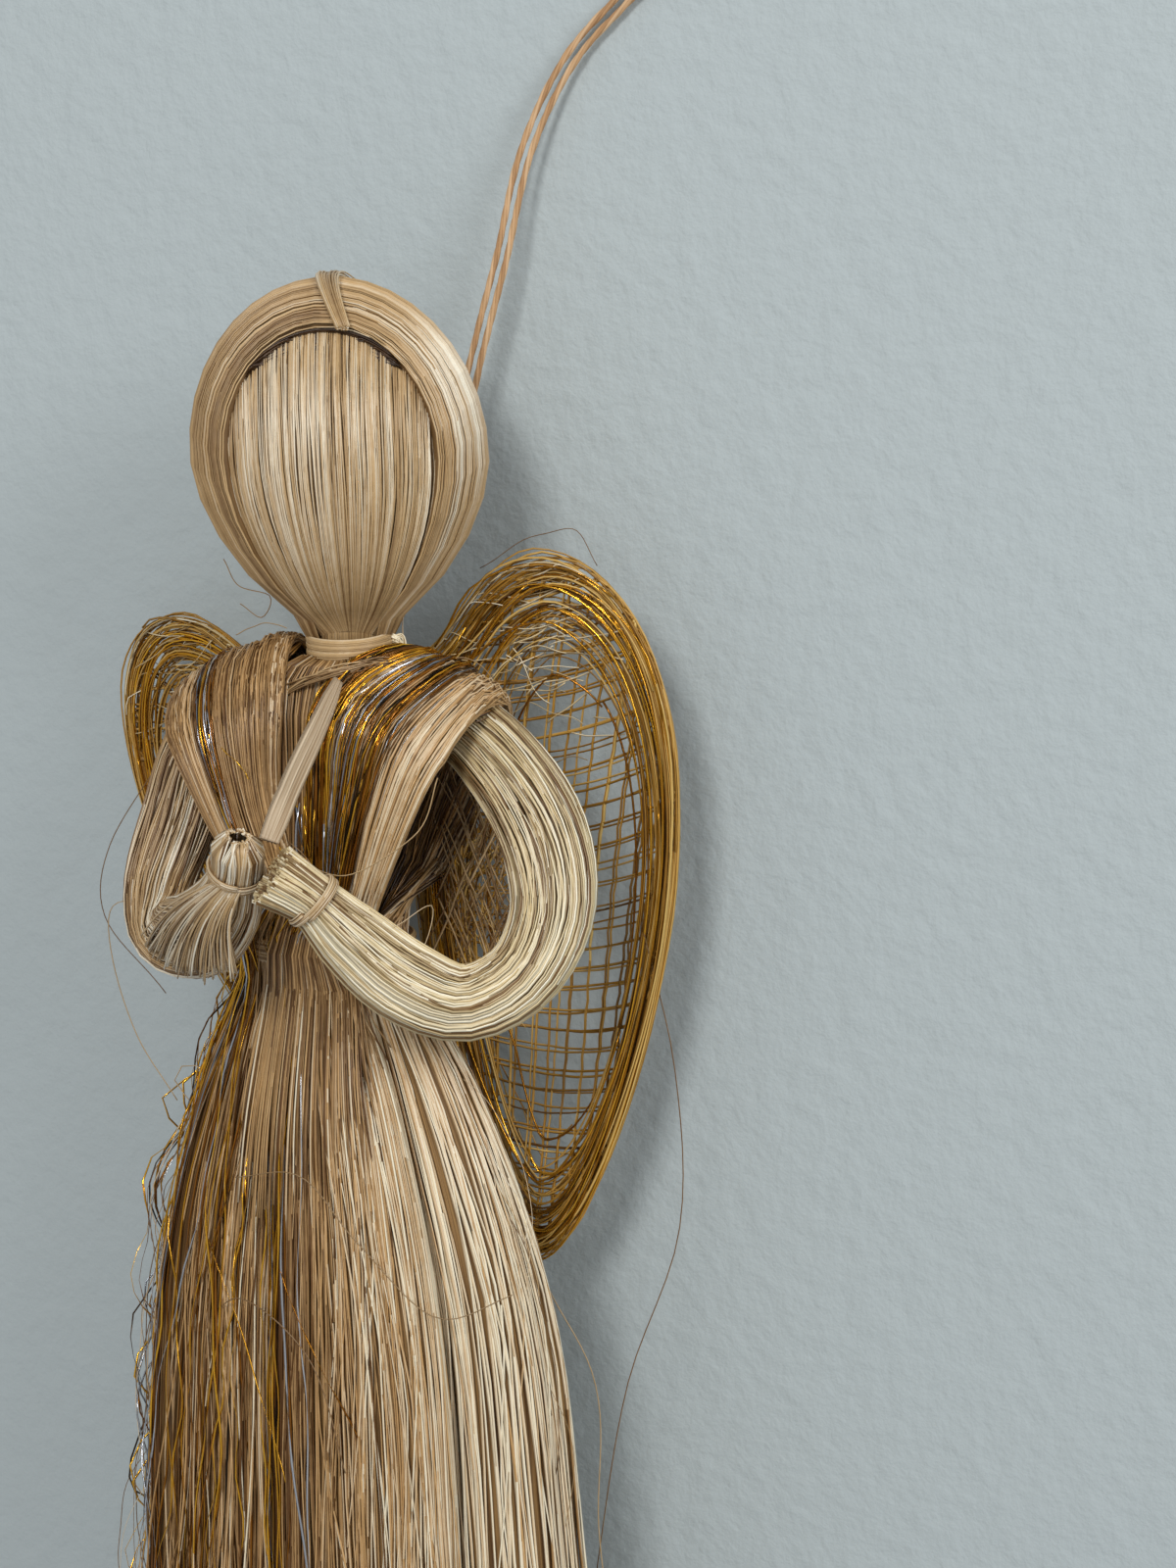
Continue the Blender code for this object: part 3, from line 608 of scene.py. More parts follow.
@dataclass
class Head:
    """Egg of folded straw under a hood of hair, tied in at the neck."""

    radius: float = 13.6
    depth: float = 13.0
    crown: float = 16.3
    middle: float = 18.8
    lean: float = -1.6
    neck: float = 2.9
    neck_top: float = 1.7
    fullness: float = 0.70
    hair_end: float = -1.3
    hair_thickness: float = 1.2
    face_edge: float = 0.68
    face_count: int = 560
    hair_count: int = 540
    back_count: int = 170
    arch_count: int = 44
    arch_edge: float = 0.69
    hair_edge: float = 0.70
    parting_count: int = 40
    seed: int = 11

    def radii(self, z: Array, grow: Array | float) -> tuple[Array, Array]:
        """Half width and half depth at heights z: half an ellipse above the middle, a cosine below it.

        Args:
            z: Heights.
            grow: Height above the straw of the head, in millimetres.

        Returns:
            Half width and half depth for each height.
        """
        above = np.sqrt(bound(1 - ((z - self.middle) / (self.crown + grow)) ** 2))
        below = bound((self.middle - z) / (self.middle - self.neck_top))
        narrow = np.cos(0.5 * np.pi * below) ** self.fullness
        halves = []
        for radius in (self.radius, self.depth):
            cheek = self.neck + grow * (1 - 0.6 * below) + (radius - self.neck) * narrow
            halves.append(np.where(z > self.middle, (radius + grow) * above, cheek))
        return halves[0], halves[1]

    def combed(self, offset: Array, run: Array, grow: Array | float, over: Array, aside: Array) -> Array:
        """Points of strands that go up one side of the head, over the top and down the other.

        Above the middle a strand keeps its distance from the head's middle plane, and below it that
        distance narrows with the head. The height follows a cosine, so that points are even over the top.

        Args:
            offset: Place of the strand aside, from -1 to 1.
            run: How far along, -1 and 1 at the neck and 0 at the top.
            grow: Height above the straw of the head, in millimetres.
            over: Direction in which the strand goes over.
            aside: Direction in which the strands lie beside each other.

        Returns:
            One point for each of the numbers given.
        """
        offset, run, grow = np.broadcast_arrays(offset, run, grow)
        top = self.middle + (self.crown + grow) * arc(offset)
        z = self.hair_end + (top - self.hair_end) * np.cos(0.5 * np.pi * run)
        wide, deep = self.radii(z, grow)
        reach = np.where(z > self.middle, self.depth + grow, deep)
        inside = np.sqrt(bound(1 - (offset * reach / np.maximum(deep, 1e-6)) ** 2))
        flat = (np.sign(run) * wide * inside)[..., None] * over + (offset * reach)[..., None] * aside
        return flat + z[..., None] * UP + self.leaning(z)[..., None] * RIGHT

    def leaning(self, z: Array) -> Array:
        """How far the head leans aside at heights z: most at its top, and not at all at the neck."""
        height = self.middle + self.crown - self.neck_top
        return self.lean * np.clip((z - self.neck_top) / height, 0, 2) ** 0.8

    def face(self, rng: Rng) -> None:
        """Egg under the face, and its fibres, which fall straight and close in on the neck."""
        share, turn = np.meshgrid(np.linspace(-0.999, 0.999, 40), np.linspace(-1.0, 1.0, 65), indexing="ij")
        points = self.combed(share, turn, -0.1 - 0.5 * turn**8, FACING, ACROSS)
        make_sheet("face_bed", points, Finish.FACE_BED, "core_hank", (share * self.radius, turn * 30.0))
        count, steps = self.face_count, 20
        place, tone = locks(rng, count, 90, 0.5, 0.09)
        offset = (1.8 * place - 0.9)[:, None] + drift(rng, count, steps, 0.010)
        run = steps_row(steps, 0.16, 1.0)
        dark = rng.random(count) < 0.14
        lift = np.where(dark, -0.02, rng.uniform(0.02, 0.22, count))[:, None] + drift(rng, count, steps, 0.03)
        paths = self.combed(offset, run, lift + 0.7 * run**8, FACING, ACROSS)
        tint = np.where(dark, 0.05, 0.52 + 1.3 * tone)[:, None]
        # Painted highlight: the tint is raised in a band across the middle of the face; painted shade: it is
        # lowered towards the neck.
        tint = tint + 0.14 * bell(run, 0.58, 0.16) - 0.24 * bound((run - 0.8) / 0.2)
        strands = Strands().add(paths, np.where(dark, 0.06, rng.uniform(0.06, 0.11, count)), tint, ACROSS)
        strands.piece("face_fibres", Finish.STRAW, GOLDEN_SLOT)

    def hood(self, rng: Rng) -> None:
        """Hair laid over the head from side to side, as a packed bed with fibres on it."""
        rows = np.concatenate([np.linspace(-0.998, self.face_edge, 30), [self.face_edge]])
        runs = np.linspace(-1.0, 1.0, 73)
        offset, run = np.meshgrid(rows, runs, indexing="ij")
        grow = self.hair_thickness - 0.15 - 0.4 * run**8
        grow[-1] = 0.0
        points = self.combed(offset, run, grow, ACROSS, FACING)
        make_sheet("hair_bed", points, Finish.BED, "hair_hank", (offset * self.radius, run * 45.0))
        count, steps = self.hair_count, 30
        place, tone = locks(rng, count, 70, 0.5, 0.1)
        offset = (-0.66 + 1.35 * place**0.8)[:, None] + drift(rng, count, steps, 0.014)
        offset = np.clip(offset, -0.9, self.hair_edge)
        run = steps_row(steps, -1.0, 1.0)
        lift = self.hair_thickness + rng.uniform(-0.15, 0.2, (count, 1)) + drift(rng, count, steps, 0.04)
        paths = self.combed(offset, run, lift, ACROSS, FACING)
        # Painted highlight (the sheen) on the upper right front of the hair, and painted shade that darkens
        # its left side towards the front; the tint is also lowered towards the neck at both ends.
        painted_sheen = 0.42 * bell(run, 0.46, 0.2) * bell(offset, 0.3, 0.34)
        tint = (0.47 + 1.2 * tone)[:, None] + painted_sheen - 0.2 * (run < 0) * bound(offset + 0.3)
        tint = tint - 0.2 * bound((np.abs(run) - 0.8) / 0.2)
        strands = Strands().add(paths, rng.uniform(0.07, 0.13, count), tint, FACING)
        self.fall(rng, strands)
        strands.piece("hair_fibres", Finish.STRAW, GOLDEN_SLOT)

    def arch_shadow(self, rng: Rng) -> None:
        """Dark fibres on the inner edge of the hood, over the forehead: a painted shadow under the hood's
        edge.
        """
        count, steps = self.arch_count, 24
        run = steps_row(steps, -0.31, 0.27) + rng.uniform(-0.04, 0.04, (count, 1))
        offset = self.arch_edge + rng.uniform(0.0, 0.10, (count, 1)) * bound(1 - (run / 0.33) ** 2)
        lift = np.where(offset > 0.715, 0.3, rng.uniform(0.2, 0.95, (count, 1)))
        paths = self.combed(offset, run, lift + drift(rng, count, steps, 0.03), ACROSS, FACING)
        strands = Strands().add(paths, rng.uniform(0.07, 0.11, count), rng.uniform(0.0, 0.4, count), FACING)
        strands.piece("arch_shadow_fibres", Finish.DARK, GOLDEN_SLOT)

    def fall(self, rng: Rng, strands: Strands) -> None:
        """Hair that falls from under the hood down the back of the head.

        Args:
            rng: Source of the places and tones.
            strands: Mesh that the hair goes to.
        """
        count, steps = self.back_count, 18
        place, tone = locks(rng, count, 30)
        offset = (1.84 * place - 0.92)[:, None] + drift(rng, count, steps, 0.012)
        run = steps_row(steps, 0.30, 1.0)
        lift = self.hair_thickness + rng.uniform(-0.2, 0.15, (count, 1)) + drift(rng, count, steps, 0.03)
        lift = lift - 0.5 * bell(run, 0.30, 0.12)
        paths = self.combed(offset, run, lift, -FACING, ACROSS)
        strands.add(paths, rng.uniform(0.09, 0.16, count), 0.46 + tone, ACROSS)

    def parting(self, rng: Rng) -> None:
        """Strand that crosses the hood at the top of the forehead, slanting and narrowing as it falls."""
        count, steps = self.parting_count, 18
        t = steps_row(steps)
        fall, turn = np.radians(-16.0 + 63.0 * t), np.radians(12.0 + 20.0 * t)
        grow = self.hair_thickness + 0.15 + rng.uniform(0.0, 0.6, (count, 1))
        x = (self.radius + grow) * np.sin(fall) * np.sin(turn)
        y = -(self.depth + grow) * np.sin(fall) * np.cos(turn)
        z = self.middle + (self.crown + grow) * np.cos(fall)
        side = (rng.uniform(-1.0, 1.0, (count, 1)) * (1.6 - t))[..., None] * ACROSS
        paths = np.stack([x + self.leaning(z), y, z], axis=2) + side
        thick, tint = rng.uniform(0.08, 0.14, count), rng.normal(0.45, 0.2, count)
        strands = Strands(sides=4).add(paths, thick, tint, ACROSS)
        strands.piece("parting_fibres", Finish.STRAW, GOLDEN_SLOT, ("parting_tie",))

    def build(self) -> None:
        """Make the head's pieces."""
        rng = np.random.default_rng(self.seed)
        self.face(rng)
        self.hood(rng)
        self.arch_shadow(rng)
        self.parting(rng)


# Shoulders and skirt

@dataclass
class Skirt:
    """Waist to hem: where the locks of fibre lie round the inner skirt."""

    rows: tuple = ((-29.2, -2.4, -0.8, 8.2, 6.4, 4.8, 3.5), (-33.4, -2.4, -0.8, 8.2, 6.4, 4.8, 3.5),
                   (-38.0, -1.9, -1.2, 11.4, 7.2, 5.6, 3.8), (-46.0, -1.1, -1.8, 15.8, 8.4, 6.9, 4.3),
                   (-66.0, 0.3, -2.5, 22.4, 10.6, 10.0, 5.6), (-96.0, 1.2, -2.5, 25.4, 12.2, 12.0, 6.6),
                   (-145.0, 1.8, -2.5, 28.0, 13.6, 13.4, 7.2))
    chest: tuple = ((-1.3, 2.9, 2.9), (-1.8, 3.1, 3.1), (-2.3, 4.2, 3.6), (-4.0, 6.2, 4.2), (-7.0, 7.2, 4.5),
                    (-11.0, 7.0, 4.5), (-16.0, 6.3, 4.1), (-22.0, 5.4, 3.6))
    fibre_count: int = 120
    seed: int = 71

    def at(self, z: Array) -> list[Array]:
        """Centre and the outer and inner half sizes at heights z."""
        rows = smooth(np.array(self.rows), 200)[::-1]
        return [np.interp(z, rows[:, 0], column) for column in rows.T[1:]]

    def heights(self, levels: int) -> Array:
        """Heights of the sections, closer together near the waist."""
        waist, hem = self.rows[0][0], self.rows[-1][0]
        return waist + (hem - waist) * np.linspace(0.0, 1.0, levels) ** 1.35

    def core(self, levels: int, sides: int) -> Array:
        """Sections of the middle of the angel, from the neck binding to the hem.

        Args:
            levels: Sections below the waist.
            sides: Points on each.

        Returns:
            Rings of points.
        """
        chest = np.array(self.chest)
        z = self.heights(levels)
        middle_x, middle_y, _, _, wide, deep = self.at(z)
        lean = np.interp(chest[:, 0], [z[0], 0.0], [1.0, 0.0])
        chest = np.column_stack([chest[:, 0], lean * middle_x[0], lean * middle_y[0], chest[:, 1:]])
        rows = np.concatenate([chest, np.stack([z, middle_x, middle_y, wide - 0.3, deep - 0.3], axis=1)])
        angle = 2 * np.pi * np.arange(sides) / sides
        x = rows[:, 1, None] + rows[:, 3, None] * np.cos(angle)
        y = rows[:, 2, None] + rows[:, 4, None] * np.sin(angle)
        return np.stack([x, y, np.repeat(rows[:, :1], sides, axis=1)], axis=2)

    def build(self) -> None:
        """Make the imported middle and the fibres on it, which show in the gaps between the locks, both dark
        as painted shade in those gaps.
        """
        rng = np.random.default_rng(self.seed)
        skin = Skin(self.core(30, 48))
        skin.bed("core_bed", Finish.CORE_BED, GOLDEN_SLOT, (), 0.2, 90, 40)
        count, steps = self.fibre_count, 26
        turn = rng.uniform(0.0, 1.0, (count, 1)) + drift(rng, count, steps, 0.006)
        share = steps_row(steps) ** 1.6
        paths = skin.place(share, turn, rng.uniform(-0.1, 0.3, (count, 1)) * np.ones((1, steps)))
        strands = Strands().add(paths, rng.uniform(0.09, 0.15, count), rng.uniform(0.1, 0.9, count), FRONT)
        strands.piece("core_fibres", Finish.DARK, GOLDEN_SLOT)

    def lock(self, z: Array, angles: tuple[float, float], shape: Array) -> Array:
        """Sections of a lock: an arc round the core, from the inner to the outer ellipse.

        Args:
            z: Heights of the sections.
            angles: Where the arc starts and ends, in degrees from the front.
            shape: Outline that each section follows, in a square from -1 to 1.

        Returns:
            Rings of points.
        """
        middle_x, middle_y, wide, deep, inner_wide, inner_deep = [v[:, None] for v in self.at(z)]
        first, last = np.radians(angles)
        turn = (first + last) / 2 + (last - first) / 2 * shape[None, :, 0]
        share = (shape[None, :, 1] + 1) / 2
        x = middle_x + (inner_wide + (wide - inner_wide) * share) * np.sin(turn)
        y = middle_y - (inner_deep + (deep - inner_deep) * share) * np.cos(turn)
        return np.stack([x, y, np.broadcast_to(z[:, None], x.shape)], axis=2)


def outline(sides: int, flute: float) -> Array:
    """Unit circle whose flat faces are fluted, eight times round.

    Args:
        sides: Points on it.
        flute: Depth of the flutes, as a share of the half thickness.

    Returns:
        Places across and out.
    """
    angle = 2 * np.pi * np.arange(sides) / sides
    swell = 1.0 - flute * (1.0 - np.cos(8 * angle))
    return np.stack([np.cos(angle), np.sin(angle) * swell], axis=1)


def rings_along(path: Array, across: Array, half_width: Array, half_depth: Array, shape: Array) -> Array:
    """Sections of one outline carried along a path, wide in the direction across.

    Args:
        path: Middles of the sections.
        across: Direction of each section's width.
        half_width: Half width of each.
        half_depth: Half thickness of each.
        shape: Outline, in a square from -1 to 1.

    Returns:
        Rings of points.
    """
    along = unit(np.gradient(path, axis=0))
    across = unit(across - np.sum(across * along, axis=1, keepdims=True) * along)
    out = np.cross(across, along)
    wide = shape[None, :, 0, None] * (half_width[:, None] * across)[:, None, :]
    deep = shape[None, :, 1, None] * (half_depth[:, None] * out)[:, None, :]
    return path[:, None, :] + wide + deep


@dataclass(frozen=True)
class Glitter:
    """A run of tinsel on a hank: its finish, how many threads, and where along the hank and round it.

    The threads stand off the hank by as much as they are loose, sway aside and may curl.
    """

    kind: Finish
    count: int
    share: tuple[float, float]
    turn: tuple[float, float]
    loose: float = 0.25
    sway: float = 0.006
    curl: float = 0.0


@dataclass(frozen=True)
class Lay:
    """A run of straw on a hank: its fibres, the points on each, and where they lie along it and round it.

    They gather in groups, wander aside, and are thicker than the usual straw by one factor.
    """

    count: int
    steps: int
    share: tuple[float, float]
    turn: tuple[float, float]
    groups: int
    wander: float
    thick: float = 1.0


LAYS = (Lay(470, 24, (0.355, 0.60), (-0.16, 0.66), 90, 0.006),
        Lay(340, 17, (0.0, 0.40), (-0.08, 0.58), 110, 0.012, 1.25),
        Lay(150, 17, (0.585, 1.0), (-0.08, 0.58), 100, 0.012, 1.75))
WAIST_SHARE = 0.386


@dataclass
class ShoulderHank:
    """Bundle folded over a shoulder: a front lock of the skirt, the fan, the fold and a back lock."""

    side: str
    keys: tuple
    front: tuple[float, float]
    back: tuple[float, float]
    seed: int
    tone: float
    edge_tone: float
    glitter: tuple[Glitter, ...]
    wild: float
    shade: float = 0.16
    shade_turn: float = 0.27
    back_tone: float = 0.0
    loose_count: int = 150
    inner_count: int = 80
    skirt: Skirt = field(default_factory=Skirt)
    sides: int = 96

    def skin(self) -> Skin:
        """Surface of the whole bundle, from the front of the hem to its back."""
        shape = outline(self.sides, 0.11)
        z = self.skirt.heights(30)
        rows = smooth(np.array(self.keys, float), 34)
        chest = rings_along(rows[:, :3], rows[:, 3:6], rows[:, 6], rows[:, 7], shape)
        front = self.skirt.lock(z[::-1], self.front, shape)
        back = self.skirt.lock(z, self.back, shape * np.array([-1.0, 1.0]))
        return Skin(np.concatenate([front, chest, back]))

    def tint(self, share: Array, turn: Array) -> Array:
        """Tone of the straw: at the front of the skirt it is paler towards +X and browner in the middle.

        Args:
            share: How far along the hank.
            turn: How far round it.

        Returns:
            Tint of each point.
        """
        skirt = bound(3.0 - share / 0.14)
        behind = bound(share / 0.1 - 6.0)
        shade = self.shade * bell(turn, self.shade_turn, 0.11)
        edge = self.edge_tone * np.cos(2 * np.pi * turn)
        return self.tone + skirt * edge - (0.55 + 0.45 * skirt) * shade + behind * self.back_tone

    def build(self) -> None:
        """Make the bed, the laid fibres, the loose ones on the skirt, and the tinsel."""
        rng = np.random.default_rng(self.seed)
        skin = self.skin()
        skin.bed(f"{self.side}_shoulder_bed", Finish.BED, GOLDEN_SLOT,
                 (f"{self.side}_shoulder_hank",), 0.2, 110, 48)
        strands = Strands()
        for lay in LAYS:
            paths, share, turn, tone = self.lay(rng, skin, lay)
            strands.add(paths, lay.thick * rng.uniform(0.06, 0.13, lay.count),
                        self.tint(share, turn) + tone[:, None], FRONT)
        strands.piece(f"{self.side}_shoulder_fibres", Finish.SKIRT, GOLDEN_SLOT)
        self.hang_loose(rng, skin)
        self.shade_inside(rng, skin)
        self.shine(rng, skin)

    def lay(self, rng: Rng, skin: Skin, lay: Lay) -> tuple[Array, Array, Array, Array]:
        """Fibres of one run, whose ends dive under those of the next and some of which pass over the waist.

        Args:
            rng: Source of the places and tones.
            skin: Surface of the bundle.
            lay: The run.

        Returns:
            Paths, the share and the turn of each point, and the shift of each fibre's tint.
        """
        t = steps_row(lay.steps)
        ends = rng.uniform(-0.012, 0.012, (2, lay.count, 1))
        share = lay.share[0] + (lay.share[1] - lay.share[0]) * t + ends[0] * (1 - t) + ends[1] * t
        place, tone = locks(rng, lay.count, lay.groups, 0.5)
        turn = (lay.turn[0] + (lay.turn[1] - lay.turn[0]) * place)[:, None]
        turn = turn + drift(rng, lay.count, lay.steps, lay.wander, 6)
        lift = rng.uniform(-0.05, 0.2, (lay.count, 1))
        lift = lift + np.abs(drift(rng, lay.count, lay.steps, 0.3, 6)) * (2 * share - 1) ** 2
        lift = lift + self.over_waist(share) * (rng.random((lay.count, 1)) < 0.85)
        inner = bound(np.minimum(share, 1 - share) / 0.02)
        lift = lift - 0.6 * inner * (bell(t, 0.0, 0.07) + bell(1 - t, 0.0, 0.07))
        tone = tone - np.where(rng.random(lay.count) < 0.12, 0.4, 0.0)
        return skin.place(share, turn, lift), share, turn, tone

    def over_waist(self, share: Array) -> Array:
        """Height that takes a thread over the turns of the waist binding, at the front."""
        return 1.4 * bell(share, WAIST_SHARE, 0.013)

    def hang_loose(self, rng: Rng, skin: Skin) -> None:
        """Fibres of the skirt that have come out of their lock and waver over it.

        Args:
            rng: Source of the places and tones.
            skin: Surface of the bundle.
        """
        count, steps = self.loose_count, 22
        t = steps_row(steps)
        back = (rng.random(count) < 0.3)[:, None]
        share = rng.uniform(-0.01, 0.06, (count, 1)) + t * rng.uniform(0.25, 0.36, (count, 1))
        share = np.where(back, 1.0 - share, share)
        turn = rng.uniform(-0.06, 0.56, (count, 1)) + drift(rng, count, steps, 0.02, 5)
        lift = 0.15 + (1 - t) * np.abs(drift(rng, count, steps, self.wild, 6))
        strands = Strands()
        strands.add(skin.place(share, turn, lift), rng.uniform(0.07, 0.14, count),
                    self.tint(share, turn) + rng.normal(0.08, 0.30, count)[:, None], FRONT)
        strands.piece(f"{self.side}_skirt_fibres", Finish.SKIRT, GOLDEN_SLOT)

    def shade_inside(self, rng: Rng, skin: Skin) -> None:
        """Dark fibres on the inner side of the back of the chest, seen under the arm: painted shade under the
        arm.

        Args:
            rng: Source of the places and tones.
            skin: Surface of the bundle.
        """
        count, steps = self.inner_count, 12
        share = steps_row(steps, 0.49, 0.66) * np.ones((count, 1))
        turn = rng.uniform(0.54, 0.96, (count, 1)) + drift(rng, count, steps, 0.03, 4)
        lift = rng.uniform(0.0, 0.4, (count, 1)) + np.abs(drift(rng, count, steps, 0.2, 4))
        strands = Strands()
        strands.add(skin.place(share, turn, lift), rng.uniform(0.08, 0.14, count),
                    rng.uniform(0.2, 1.1, count), FRONT)
        strands.piece(f"{self.side}_inner_shade_fibres", Finish.DARK, GOLDEN_SLOT)

    def shine(self, rng: Rng, skin: Skin) -> None:
        """Flat tinsel threads that twist as they go, and so glint here and there.

        Args:
            rng: Source of the places and tones.
            skin: Surface of the bundle.
        """
        for kind in (Finish.GOLD, Finish.SILVER, Finish.SHADE):
            strands = Strands(sides=4)
            for run in (run for run in self.glitter if run.kind is kind):
                steps = 60 if run.curl else 26
                t = steps_row(steps)
                each = (run.count, 1)
                share = run.share[0] + (run.share[1] - run.share[0]) * t + rng.uniform(-0.02, 0.02, each)
                turn = rng.uniform(*run.turn, run.count)[:, None] + drift(rng, run.count, steps, run.sway, 6)
                wave = 2 * np.pi * t * rng.uniform(5.0, 13.0, each) + rng.uniform(0, 6.3, each)
                size = run.curl * rng.uniform(0.4, 1.4, each)
                turn = turn + 0.016 * size * np.sin(wave)
                lift = rng.uniform(0.15, 0.4, each) + size * (1 + np.cos(wave + 0.8))
                lift = lift + np.abs(drift(rng, run.count, steps, run.loose, 8)) + self.over_waist(share)
                twist = drift(rng, run.count, steps, 3.2, 11) + rng.uniform(0, 3.0, each)
                strands.add(skin.place(share, turn, lift), rng.uniform(0.08, 0.14, run.count),
                            rng.random(run.count), FRONT, flat=0.3, roll=twist)
            if strands.count:
                strands.piece(f"{self.side}_{kind.name.lower()}_tinsel", kind, GOLDEN_SLOT)


# Arms

@dataclass
class Arms:
    """One bundle that passes through the shoulders and makes both arms, both wrists and both hands."""

    rows: tuple = (
        (-0.4, -22.4, -16.9, 2.7, 2.5), (-2.3, -19.6, -20.6, 2.3, 2.1), (-4.9, -17.2, -24.6, 3.4, 2.5),
        (-10.4, -13.6, -28.6, 4.3, 2.6), (-16.8, -9.6, -29.4, 3.6, 2.5), (-19.4, -6.2, -25.4, 3.5, 2.5),
        (-18.6, -3.0, -18.4, 3.8, 2.6), (-16.9, -0.9, -11.4, 3.7, 2.4), (-12.0, 0.3, -7.4, 3.1, 2.1),
        (0.0, 0.5, -6.6, 2.9, 2.0), (10.6, 0.3, -7.2, 3.2, 2.1), (17.4, -0.9, -11.6, 3.9, 2.4),
        (22.6, -2.4, -18.6, 4.2, 2.7), (24.4, -4.8, -25.4, 3.9, 2.7), (22.6, -8.4, -31.2, 3.5, 2.6),
        (18.0, -11.6, -33.6, 3.5, 2.6), (13.2, -14.8, -31.2, 3.8, 2.6), (8.9, -17.4, -26.8, 3.3, 2.4),
        (6.0, -19.6, -23.0, 2.4, 2.1), (3.2, -21.7, -20.6, 2.9, 2.5))
    facing: Place = (0.30, -0.95, 0.0)
    count: int = 350
    fan_count: int = 170
    cut_count: int = 200
    levels: int = 110
    wrists: tuple[int, int] = (1, -2)
    knob: float = 0.022
    seed: int = 31
    tone_places: tuple = (0.0, 0.08, 0.2, 0.3, 0.42, 0.58, 0.7, 0.8, 0.9, 1.0)
    tones: tuple = (0.48, 0.52, 0.34, 0.22, 0.16, 0.36, 0.46, 0.50, 0.60, 0.42)
    fan_ends: tuple = ((-17.4, -10.6, -3.6), (-12.4, -16.3, -18.2), (-30.2, -31.8, -31.0))

    def skin(self) -> Skin:
        """Surface of the bundle from one cut end to the other."""
        rows = smooth(np.array(self.rows), self.levels)
        across = np.cross(np.tile(self.facing, (self.levels, 1)), unit(np.gradient(rows[:, :3], axis=0)))
        return Skin(rings_along(rows[:, :3], across, rows[:, 3], rows[:, 4], outline(72, 0.06)))

    def binding(self, wrist: int) -> "Binding":
        """Turns of strand at a row of the arms.

        Args:
            wrist: Which row.

        Returns:
            The binding, not yet made.
        """
        rows = smooth(np.array(self.rows), 540)
        level = int(np.argmin(np.linalg.norm(rows[:, :3] - np.array(self.rows[wrist][:3]), axis=1)))
        along = unit(np.gradient(rows[:, :3], axis=0))[level]
        across = unit(np.cross(np.array(self.facing), along))
        return Binding(rows[level, :3], across, np.cross(along, across), rows[level, 3], rows[level, 4], 2,
                       strand=0.55)

    def build(self) -> None:
        """Make the bed, the fibres of both arms, the hands and the wrist bindings."""
        rng = np.random.default_rng(self.seed)
        skin = self.skin()
        skin.bed("arms_bed", Finish.PALE_BED, PALE_SLOT, ("arms_hank",), 0.25, 100, 40, (self.knob, 0.994))
        self.arm(rng, skin, "left", 0.0, 0.42)
        self.arm(rng, skin, "right", 1.0, 0.58)
        for side, wrist in zip(("left", "right"), self.wrists):
            self.binding(wrist).build(f"{side}_wrist_binding", Finish.STRAW, PALE_SLOT, 40 + wrist)

    def arm(self, rng: Rng, skin: Skin, side: str, hand: float, shoulder: float) -> None:
        """Fibres of one arm, from its hand to where it goes into the chest.

        Args:
            rng: Source of the places and tones.
            skin: Surface of the whole bundle.
            side: Side of the arm.
            hand: Share of the bundle's length at the hand's end.
            shoulder: Share at the arm's other end.
        """
        count, steps = self.count, 34
        t = steps_row(steps)
        share = hand + (shoulder - hand) * t * np.ones((count, 1))
        place, tone = locks(rng, count, 60, 0.5, 0.13)
        pick = rng.random(count)
        tone = tone - np.where(pick < 0.2, 0.5, 0.0) + np.where(pick > 0.78, 0.45, 0.0)
        turn = place[:, None] + drift(rng, count, steps, 0.016, 7)
        lift = rng.uniform(-0.12, 0.2, (count, 1)) + np.abs(drift(rng, count, steps, 0.14, 7)) * t
        strands = Strands()
        if side == "left":
            near = bound(1 - share / self.knob)
            lift = lift - 1.7 * (1 - np.sqrt(1 - near**2))
        paths = skin.place(share, turn, lift)
        if side == "right":
            paths[:, 0] += rng.uniform(0.0, 0.7, (count, 1)) * unit(paths[:, 0] - paths[:, 1])
        along = np.interp(share, self.tone_places, self.tones)
        strands.add(paths, rng.uniform(0.08, 0.15, count), along + tone[:, None], np.array([0.5, -0.8, 0.33]))
        if side == "right":
            self.cut_end(rng, skin, strands)
        else:
            self.fan(rng, strands)
        finish = Finish.STRAW if side == "left" else Finish.PALE
        strands.piece(f"{side}_arm_fibres", finish, PALE_SLOT)

    def fan(self, rng: Rng, strands: Strands) -> None:
        """Fibres of the left forearm that spread from its wrist and end free below the elbow.

        Args:
            rng: Source of the places and tones.
            strands: Mesh that they go to.
        """
        count, steps = self.fan_count, 14
        t = steps_row(steps)
        far = rng.uniform(0.0, 1.0, count)
        end = np.stack([np.interp(far, [0.0, 0.5, 1.0], column) for column in self.fan_ends], axis=1)
        end = end + rng.normal(0.0, 0.35, (count, 3)) * np.array([1.0, 0.8, 1.6])
        wrist = -21.6
        start = np.stack([-3.9 + 3.0 * far, wrist + np.abs(far - 0.5), wrist - 0.6 * far], axis=1)
        bow = np.array([-0.3, -1.1, 0.5]) * (np.sin(np.pi * t)[..., None])
        wander = np.stack([drift(rng, count, steps, 0.12, 4) for _ in range(3)], axis=2) * t[..., None]
        paths = start[:, None] * (1 - t[..., None]) + end[:, None] * t[..., None] + bow + wander
        facing = np.array([0.3, -0.9, 0.3])
        strands.add(paths, rng.uniform(0.08, 0.14, count), rng.normal(0.5, 0.2, count), facing)

